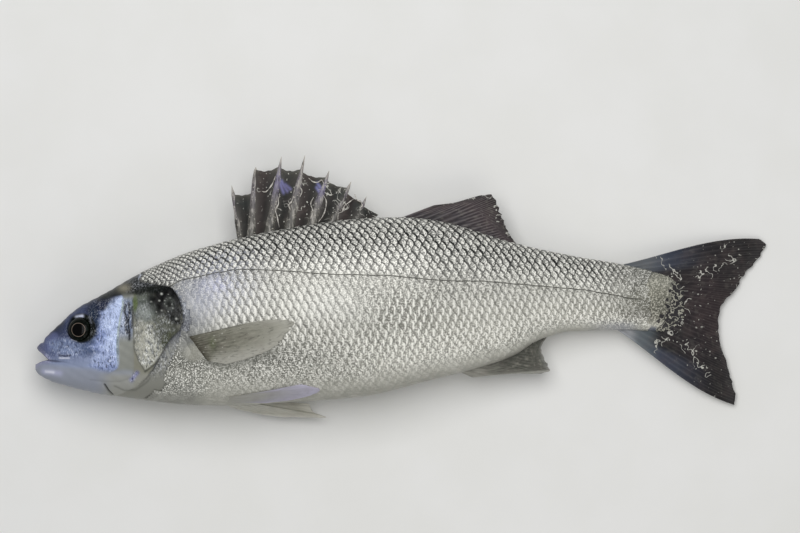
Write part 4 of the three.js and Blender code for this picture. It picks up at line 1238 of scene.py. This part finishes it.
def make_sheet(name, points, middle, thick, pattern, place, colours, **values):
    """A closed thin sheet: an upper and a lower grid of points, so far apart, and a strip round the edge. The
    pattern's map and the place on the sheet are each given as two coordinates."""
    rows, columns = points.shape[:2]
    count = rows * columns
    low = np.maximum(middle - thick / 2, SLAB_GAP)
    x, y = points[..., 0], points[..., 1]
    surface = np.concatenate([together(x, y, z).reshape(-1, 3) for z in (low + thick, low)])
    upper = grid_faces(rows, columns)
    grid = np.arange(count).reshape(rows, columns)
    loop = np.concatenate([grid[0, :-1], grid[:-1, -1], grid[-1, :0:-1], grid[:0:-1, 0]])
    following = np.roll(loop, -1)
    wall = np.stack([following, following + count, loop + count, loop], -1)
    faces = outward(surface, [np.concatenate([upper, upper[:, ::-1] + count, wall])])
    uv, bake = together(*pattern), together(*place) * (1, 0.49)
    both = {key: np.concatenate([np.broadcast_to(value, grid.shape)] * 2) for key, value in values.items()}
    return make_piece(
        name, surface, faces, fin_skin, uv=np.concatenate([uv, uv]),
        bake_uv=np.concatenate([bake, bake + (0, 0.5)]), colours=np.concatenate([colours, colours]),
        values=both)


def make_fin(name, fin, height, colour_of, lace_of, web=0.5, rib=0.7, sink=3, per_ray=12, rows=46,
             ragged=0.02, notch=0.06, ray_shows=0.6, streaks=0.15, seed=1):
    """A fin: a thin sheet between the curve of its rays' roots and the curve of their tips. Across it each ray
    is a low ridge that forks on the way out, and the free edge is notched between rays and a little frayed.
    height gives the sheet's middle over the slab."""
    random = np.random.default_rng(seed)
    columns = (fin["rays"] - 1) * per_ray + 1
    along = np.linspace(0, 1, columns)
    ray = along * (fin["rays"] - 1)
    root, tip = curve_through(fin["root"])(along), curve_through(fin["tip"])(along ** fin.get("lean", 1))
    knots = np.arange(0, columns + 3, 3)
    fray = np.interp(np.arange(columns), knots, random.random(len(knots)))
    from_ray = ray - np.round(ray)
    reach = 1 - notch * np.abs(from_ray) - ragged * fray * np.sin(np.pi * along) ** 0.3
    direction, aside = direction_and_aside(tip - root)
    start = root - direction * sink
    end = root + (tip - root) * reach[:, None]
    v = np.linspace(0, 1, rows)[:, None]
    bow = fin.get("bow", 0) * (1 - 2 * along) * np.abs(1 - 2 * along) ** 3 * BOW_SHAPE * v * v * (1 - v)
    points = start * (1 - v[..., None]) + end * v[..., None] + aside * bow[..., None]
    fork = 0.25 * smooth_step(0.3, 0.6, v)
    ridge = np.maximum(bump(from_ray - fork, RAY_WIDTH), bump(from_ray + fork, RAY_WIDTH))
    thick = web + rib * ridge * (1 - 0.75 * v) * smooth_step(1, 0.9, v)
    thick = thick * (1 - 0.6 * smooth_step(0.93, 1, v))
    place = share_of(points[..., 0]), points[..., 1] / MM, np.broadcast_to(v, thick.shape)
    return make_sheet(name, points, height(points, v), thick, (ray, v), (along, v), colour_of(*place),
                      lace=lace_of(*place), ray_shows=ray_shows, streaks=streaks)


def spine_ends(spine):
    """A spine's root and tip on the flank's plane, in millimetres."""
    return (np.array([lengthwise(spine[end][0]), spine[end][1] * MM]) for end in ("root", "tip"))


def make_spine(number, spine, material):
    """A fin spine in its fleshy sheath: rings along the line from root to tip, broad and flat at the root,
    a slim cone above the web, with slightly wavy sides."""
    rings, sides = 36, 16
    root, tip = spine_ends(spine)
    direction, aside = direction_and_aside(tip - root)
    t = np.linspace(0, 1, rings)[:, None]
    web = max(spine["behind"], spine["before"])
    girth = spine["girth"]
    sheath = profile([(0, girth), (0.35, 0.95 * girth), (web - 0.25, 0.66 * girth), (web - 0.02, 1.15),
                      (web + 0.45 * (1 - web), 0.62), (1.0001, 0.1)])(t)
    sheath = sheath * (1 + 0.06 * np.sin(9 * t + number) + 0.04 * np.sin(23 * t + 2 * number))
    turn = np.arange(sides) * math.tau / sides
    centre = root - direction * 3 + (tip - root + direction * 3) * t
    low, high = (middle_height(spine[end][0]) * MM for end in ("root", "tip"))
    z = low * (1 - t) + (high - DORSAL_DROOP) * t
    z = z + np.minimum(0.6 * sheath, 1.1 + 0.1 * sheath) * np.sin(turn)
    flat = centre[:, None, :] + aside * (sheath * np.cos(turn))[..., None]
    points = with_middles(together(flat[..., 0], flat[..., 1], z))
    along = np.broadcast_to(t, z.shape)
    colours = colour_along(along, [(0, "#4c4b45"), (0.3, "#5b5853"), (0.7, "#6a646b"), (0.88, "#8a8681"),
                                   (1, "#c3beb4")])
    if number in VIOLET_SPINES:
        colours = tint(colours, ("#7a759c", 0.5 * bump(along - 0.68, 0.16)))
    return make_piece(
        f"dorsal_spine_{number}", points, outward(points, tube_faces(rings, sides)), material,
        colours=with_ends(colours, colours[0, 0], colours[-1, 0]))


def make_web(number, one, following):
    """The skin between two dorsal spines: a sheet from one spine to the next, whose free edge sags between
    them and whose face hangs in low folds."""
    c, v = np.linspace(0, 1, 41), np.linspace(0, 1, 40)[:, None]
    (root0, tip0), (root1, tip1) = spine_ends(one), spine_ends(following)
    reach0, reach1 = root0 + (tip0 - root0) * one["behind"], root1 + (tip1 - root1) * following["before"]
    root = root0 * (1 - c[:, None]) + root1 * c[:, None]
    tip = reach0 * (1 - c[:, None]) + reach1 * c[:, None]
    sag = 1 - 0.05 * np.sin(np.pi * c) - 0.006 * np.sin(19 * c + number) * np.sin(np.pi * c)
    start = root - (tip - root) * 0.12
    end = root + (tip - root) * sag[:, None]
    points = start * (1 - v[..., None]) + end * v[..., None]
    share = share_of(points[..., 0])
    folds = 0.3 * np.sin(np.pi * c) * np.sin(math.tau * (1.3 * c + 0.25 * v) + number)
    folds = folds * smooth_step(0.1, 0.5, v)
    middle = middle_height(share) * MM - WEB_DROOP * v * v + folds
    thick = 0.45 * (1 - 0.5 * smooth_step(0.9, 1, v)) + 0 * c
    v_grid, c_grid = np.broadcast_arrays(v, c)
    sheath = np.maximum(bump(c_grid, 0.3), 0.8 * bump(1 - c_grid, 0.25)) * smooth_step(0.9, 0.45, v_grid)
    colours = tint(
        colour_along(v_grid, [(0, "#1d1d19"), (0.5, "#232422"), (0.85, "#303331"), (0.96, "#43423d"),
                              (1, "#5d5c57")]),
        ("#3d2f2f", 0.5 * bump(c_grid - 0.3, 0.3) * (number % 2)), ("#66635f", 0.55 * sheath))
    if number in VIOLET_MARKS:
        to_mark = np.minimum.reduce(
            [distance_to(stroke, share, points[..., 1] / MM) for stroke in VIOLET_MARKS[number]])
        colours = tint(colours, ("#8585ba", 0.75 * bump(to_mark, 0.95)))
    return make_sheet(
        f"dorsal_web_{number}", points, middle, thick, (c * 0.98 + 0.01, v * 0.3), (c, v), colours,
        lace=WEB_LACE[number] * smooth_step(0.05, 0.2, v), ray_shows=0.25, streaks=0.1)


# Threads of mucus on the first dorsal fin, as (share, height) points along each.
DORSAL_THREADS = [
    [(32.8, 15.1), (32.5, 14.3), (32.1, 13.6), (31.4, 12.9), (30.9, 13)],
    [(33.4, 12.6), (33.2, 11.9), (33.2, 11.3), (32.8, 10.4), (33, 9.6), (33.3, 8.1)],
    [(37.3, 14.8), (37.9, 14.3), (38.5, 14.2), (39.1, 14.5), (39.4, 14)],
    [(39.3, 12.5), (39.7, 11.7), (39.5, 10.2), (39.1, 9.4), (38.6, 8.8)],
    [(38, 12.2), (37.6, 11.3), (37.9, 10.2), (37.5, 9.2)],
    [(43.5, 12), (42.7, 11.4), (42.2, 11), (41.9, 10.2), (41.4, 10), (41.3, 9.1)],
    [(43.6, 12.6), (43.9, 11.8), (44.4, 11.6), (44.6, 11), (44.3, 10.7)],
    [(35.3, 12.4), (35, 11.6), (34.6, 11.1), (34.9, 10.3)],
    [(36, 13.8), (36.4, 13), (36.1, 12.2)],
]


def make_dorsal_threads():
    """Milky threads on the first dorsal fin: thin tubes along smooth curves just over its webs."""
    rings, sides = 40, 8
    turn = np.arange(sides) * math.tau / sides
    t = np.linspace(0, 1, rings)
    spine_share, spine_height = zip(*(spine["tip"] for spine in DORSAL_SPINES))
    everything, quads, ends = [], [], []
    for number, thread in enumerate(DORSAL_THREADS):
        path = curve_through(thread)(t)
        _, aside = direction_and_aside(np.gradient(path, axis=0))
        share, height = share_of(path[:, 0]), path[:, 1] / MM
        v = (height - back(share)) / (np.interp(share, spine_share, spine_height) - back(share))
        z = middle_height(share) * MM - WEB_DROOP * v * v + 0.75
        thick = 0.36 * np.sin(np.pi * (0.06 + 0.88 * t)) ** 0.5 * (1 + 0.35 * np.sin(17 * t + number))
        flat = path[:, None, :] + aside[:, None, :] * (thick[:, None] * np.cos(turn))[..., None]
        points = with_middles(together(
            flat[..., 0], flat[..., 1], z[:, None] + 0.9 * thick[:, None] * np.sin(turn)))
        groups = outward(points, tube_faces(rings, sides))
        shift = number * len(points)
        everything.append(points)
        quads.append(groups[0] + shift)
        ends.append(groups[1] + shift)
    faces = [np.concatenate(quads), np.concatenate(ends)]
    return make_piece("dorsal_threads", np.concatenate(everything), faces, thread_material())


def plain_colours(*stops):
    """Fin colours that change from root to tip."""
    return lambda share, height, v: colour_along(v, stops)


def lace(least, more=0, low=0, high=1):
    """Mucus of one amount, with more of it towards the free edge."""
    return lambda share, height, v: least + more * smooth_step(low, high, v)


def tail_colours(share, height, v):
    """Charcoal, with blue-grey lobes near the body and a browner middle."""
    near_body = smooth_step(93, 84, share)
    upper = smooth_step(1, 2.4, height - 0.1 * (share - 80)) * near_body
    lower = smooth_step(-5.6, -7, height + 0.42 * (share - 80)) * near_body
    root = smooth_step(85.5, 83.5, share) * smooth_step(81, 82.5, share) * smooth_step(-5, -6, height)
    return tint(
        colour_along(v, [(0, "#2c2c2d"), (0.3, "#252426"), (0.6, "#242225"), (0.9, "#242223"),
                         (1, "#353334")]),
        ("#454c5c", 0.85 * np.maximum(upper, lower)), ("#6f7476", 0.7 * upper * smooth_step(87, 83, share)),
        ("#9fa2a6", 0.9 * smooth_step(84, 81.5, share) * smooth_step(-4.6, -5.2, height)),
        ("#5f676c", 0.8 * root), ("#3a2f31", 0.6 * spot(share, height, 92, -3, 4, 5)))


def tail_lace(share, height, v):
    """Mucus threads: thick along the end of the scales, then on two slanting bands and along the free edge."""
    flesh_end = 88 - 0.1 * (height + 2) ** 2
    up = bump(distance_to([(89, 0.6), (92, 2.2), (95, 3.8)], share, height), 4.5)
    down = bump(distance_to([(88, -7.3), (90, -9.5), (92, -12)], share, height), 4.5)
    middle = bump(distance_to([(88.5, -2.6), (91.5, -4.6)], share, height), 4)
    return np.clip(np.maximum.reduce([
        0.8 * bump(share - flesh_end - 0.6, 1.2), 0.72 * up, 0.72 * down, 0.6 * middle,
        0.5 * smooth_step(0.92, 1, v), 0.34 * smooth_step(0.2, 0.6, v)]), 0, 1)


def pectoral_colours(share, height, v):
    """Olive grey at the base, fading into the flank's silver at the tip and along the lower edge, with a thin
    dark line of painted shadow along the upper edge.
    """
    below = distance_to([(21.6, -6.5), (29.5, -4.8), (33.7, -4.4)], share, height) / MM
    return tint(
        colour_along(v, [(0, "#3e3a30"), (0.06, "#57554a"), (0.2, "#6f6e62"), (0.5, "#7f7e72"),
                         (0.8, "#97968b"), (1, "#adaca2")]),
        ("#5a6146", 0.7 * spot(share, height, 24.3, -7.7, 0.5, 0.9)),
        ("#b0afa6", 0.8 * smooth_step(2.4, 4.6, below) * smooth_step(0.1, 0.3, v)),
        # Painted shadow: a thin dark line along the fin's upper edge.
        ("#23221c", 0.9 * bump(below, 0.16) * smooth_step(0.98, 0.7, v)))


def anal_colours(share, height, v):
    """Dark grey between olive-grey front rays, with a pale edge below and behind."""
    front = smooth_step(64.5, 60.5, share) + 0.5 * bump(share - 65, 3) * smooth_step(-10.9, -11.7, height)
    edge = distance_to([(59.6, -12.4), (65, -11.95), (70.3, -11.55)], share, height)
    return tint(
        colour_along(v, [(0, "#6b6a63"), (0.25, "#595a53"), (0.6, "#55564f"), (0.9, "#5c5d56"),
                         (1, "#93938e")]),
        ("#87867d", 0.8 * front), ("#a09f96", 0.85 * smooth_step(62.5, 59.5, share)),
        ("#b4b4ac", 0.7 * bump(edge, 0.8)))


def make_fins():
    """All fins: the first dorsal from spines and webs, the others as rayed sheets."""
    spine_sheath = spine_material()
    for number, (spine, following) in enumerate(zip(DORSAL_SPINES, DORSAL_SPINES[1:] + [DORSAL_WEB_END])):
        make_spine(number, spine, spine_sheath)
        make_web(number, spine, following)
    make_dorsal_threads()
    make_fin("second_dorsal_fin", SECOND_DORSAL, on_middle_plane(2),
             plain_colours((0, "#2a292b"), (0.3, "#4b474b"), (0.7, "#52494c"), (1, "#343031")),
             lace(0.24, 0.34, 0.75), ray_shows=0.95, seed=2)
    make_fin("anal_fin", ANAL_FIN, on_middle_plane(2), anal_colours, lace(0.25, 0.3, 0.9), ray_shows=0.4,
             streaks=0.35, seed=3)
    make_fin("tail_fin", TAIL_FIN, on_middle_plane(0), tail_colours, tail_lace, rib=0.9, sink=1, rows=56,
             per_ray=11, ragged=0.016, notch=0.025, ray_shows=0.25, streaks=0.07, seed=4)
    for name, side, lift in (("pectoral_fin_left", 1, 0.4), ("pectoral_fin_right", -1, 0)):
        make_fin(name, PECTORAL_FIN, along_flank(side, lift), pectoral_colours, lace(0.33), web=1.5, rib=0.3,
                 sink=1, ragged=0.03, ray_shows=0.05, streaks=0.4, seed=5)
    make_fin("pelvic_fin_left", PELVIC_FIN_UP, along_flank(1, 0.3),
             plain_colours((0, "#a1a097"), (0.4, "#a4a39f"), (0.75, "#aeacb7"), (1, "#bdbacc")), lace(0),
             web=1, rib=0.3, sink=1, per_ray=24, ray_shows=0.05, streaks=0.1, seed=6)
    make_fin("pelvic_fin_right", PELVIC_FIN_DOWN, hanging_below(24, 11),
             plain_colours((0, "#c2c1b7"), (0.4, "#bfbeb4"), (0.8, "#b8b6aa"), (1, "#d8d6cc")), lace(0),
             web=0.9, rib=0.7, per_ray=24, ray_shows=0.2, seed=7)


# ---- Eyes and the lateral line ----

EYE_AT = (5.95, -5.75)
EYE_RADIUS, EYE_DEPTH, EYE_BULGE = 8, 4.5, 2
PUPIL_SET_BACK = -0.9
EYE_RINGS, EYE_SIDES = 61, 64
CORNEA_FLATNESS, CORNEA_SHOULDER, CORNEA_FALL = 3.4, 0.62, 0.35
LINE_RUNS = (18.3, 83.5)  # where the lateral line's tubes start and end, in shares


def make_eye(name, side, material):
    """An eyeball that looks out from the flank: rings round the way it looks, the front a flat cornea with
    rounded shoulders, the back half an ellipsoid inside the socket."""
    share, height = EYE_AT
    step = 1

    def depth(along, across):
        return float(flank_depth(np.array(share + along / MM), np.array(height * MM + across)))

    slope_along = (depth(step, 0) - depth(-step, 0)) / (2 * step)
    slope_across = (depth(0, step) - depth(0, -step)) / (2 * step)
    looks = np.array([-slope_along, -slope_across, side])
    looks = looks / np.linalg.norm(looks)
    out_to = float(middle_height(share)) * MM + side * depth(0, 0)
    surface = np.array([lengthwise(share), height * MM, out_to])
    centre = surface + looks * (EYE_BULGE - EYE_DEPTH)
    first = np.cross([0, 1, 0], looks)
    first = first / np.linalg.norm(first)
    second = np.cross(looks, first)
    tilt = np.linspace(0, np.pi, EYE_RINGS)[1:-1][:, None]
    turn = (np.arange(EYE_SIDES) * math.tau / EYE_SIDES)[None]
    radius = np.sin(tilt) * EYE_RADIUS
    flattened = (1 - np.sin(tilt) ** CORNEA_FLATNESS) ** CORNEA_SHOULDER
    front = EYE_DEPTH * flattened - CORNEA_FALL * np.sin(tilt) ** 2
    out = np.where(tilt < np.pi / 2, np.maximum(front, 0), np.cos(tilt) * EYE_DEPTH)
    round_it = np.cos(turn)[..., None] * first + np.sin(turn)[..., None] * second
    points = centre + radius[..., None] * round_it + out[..., None] * looks
    from_pupil = np.hypot(points[..., 0] - centre[0] - PUPIL_SET_BACK, points[..., 1] - centre[1])
    uv = np.stack([from_pupil / EYE_RADIUS + 2 * (tilt > np.pi / 2), np.zeros_like(from_pupil)], -1)
    everything = with_ends(points, centre + looks * EYE_DEPTH, centre - looks * EYE_DEPTH)
    faces = outward(everything, tube_faces(len(tilt), turn.shape[1]))
    return make_piece(
        name, everything, faces, material, replaces=name, uv=with_ends(uv, (0, 0), (2, 0)))


def make_lateral_line(name, tables, side, material):
    """The pored line: one low round-topped tube on each scale of its row, which just reaches the next."""
    count, angles, _ = tables
    first, last = np.interp(LINE_RUNS, TABLE_SHARES, count)
    starts = np.arange(math.ceil(first), math.floor(last))
    number = len(starts)
    sweep, steps = np.linspace(0, np.pi, 6), np.linspace(-0.42, 0.52, 6)
    random = np.random.default_rng(11)
    place = starts[:, None, None] + steps[None, :, None] + np.zeros((1, 1, len(sweep)))
    share = np.interp(place, count, TABLE_SHARES)
    taper = np.sin(np.pi * np.linspace(0.08, 0.92, len(steps)))[None, :, None] ** 0.4
    wander = 0.12 * random.normal(0, 1, (number, 1, 1))
    angle = angle_at(angles, share, 0.3 * np.cos(sweep) * taper + wander)
    lift = 0.25 + 0.38 * (steps + 0.5)[None, :, None] + 0.3 * np.sin(sweep) * taper
    return make_piece(name, skin_on_side(share, angle, lift, side, 0.05),
                      plate_faces(len(steps), len(sweep), number, turned=side > 0), material)


# ---- The whole fish ----

fin_skin = fin_material()
make_head()
make_trunk()
tables_below, tables_above = lattice_tables(length_below), lattice_tables(length_above)
scale_skin, pore_skin = wet_scale_material(), pore_material()
for side, side_name in ((1, "left"), (-1, "right")):
    make_scales(f"scales_{side_name}_back", tables_above, side, range(0, 24), scale_skin, seed=20 + side)
    make_scales(f"scales_{side_name}_belly", tables_below, side, range(-26, 0), scale_skin, seed=30 + side)
    make_lateral_line(f"lateral_line_{side_name}", tables_above, side, pore_skin)
make_fins()
eye_skin = eye_material()
make_eye("eye_left", 1, eye_skin)
make_eye("eye_right", -1, eye_skin)

# ---- Floor, light and camera ----

FLOOR_HALF = 2
floor_mesh = bpy.data.meshes.new("floor")
floor_mesh.from_pydata(
    [(x * FLOOR_HALF, y * FLOOR_HALF, 0) for x, y in ((-1, -1), (1, -1), (1, 1), (-1, 1))], [],
    [(0, 1, 2, 3)])
floor_mesh.materials.append(floor_material())
floor = bpy.data.objects.new("floor", floor_mesh)
bpy.context.scene.collection.objects.link(floor)


def add_light(name, place, size, watts, hex_colour):
    """A square soft light that faces the fish; lengths in metres."""
    data = bpy.data.lights.new(name, "AREA")
    data.size = size
    data.energy = watts
    data.color = linear(hex_colour)[:3]
    light = bpy.data.objects.new(name, data)
    bpy.context.scene.collection.objects.link(light)
    light.location = place
    light.rotation_euler = (-Vector(place)).to_track_quat("-Z", "Y").to_euler()


add_light("softbox", (-0.12, 0.46, 1.25), 1.15, 12.4, "#fdfcfb")
add_light("bounce", (0.5, -0.8, 0.9), 0.9, 2.5, "#fffaf2")

world = bpy.data.worlds.new("studio")
bpy.context.scene.world = world
world.use_nodes = True
world.node_tree.nodes["Background"].inputs["Color"].default_value = linear("#e9ecf0")
world.node_tree.nodes["Background"].inputs["Strength"].default_value = 0.36
bpy.context.scene.view_settings.view_transform = "Standard"

# A long lens from straight above: the picture is 491.3 mm wide where the fish's outline lies.
PICTURE_WIDTH, SENSOR_WIDTH, LENS = 0.4913, 36, 700
OUTLINE_HEIGHT = 0.022
camera_data = bpy.data.cameras.new("camera")
camera_data.lens = LENS
camera_data.sensor_width = SENSOR_WIDTH
camera_data.clip_end = 20
camera = bpy.data.objects.new("camera", camera_data)
bpy.context.scene.collection.objects.link(camera)
camera.location = (-0.00103, 0.0123, OUTLINE_HEIGHT + PICTURE_WIDTH * LENS / SENSOR_WIDTH)
bpy.context.scene.camera = camera
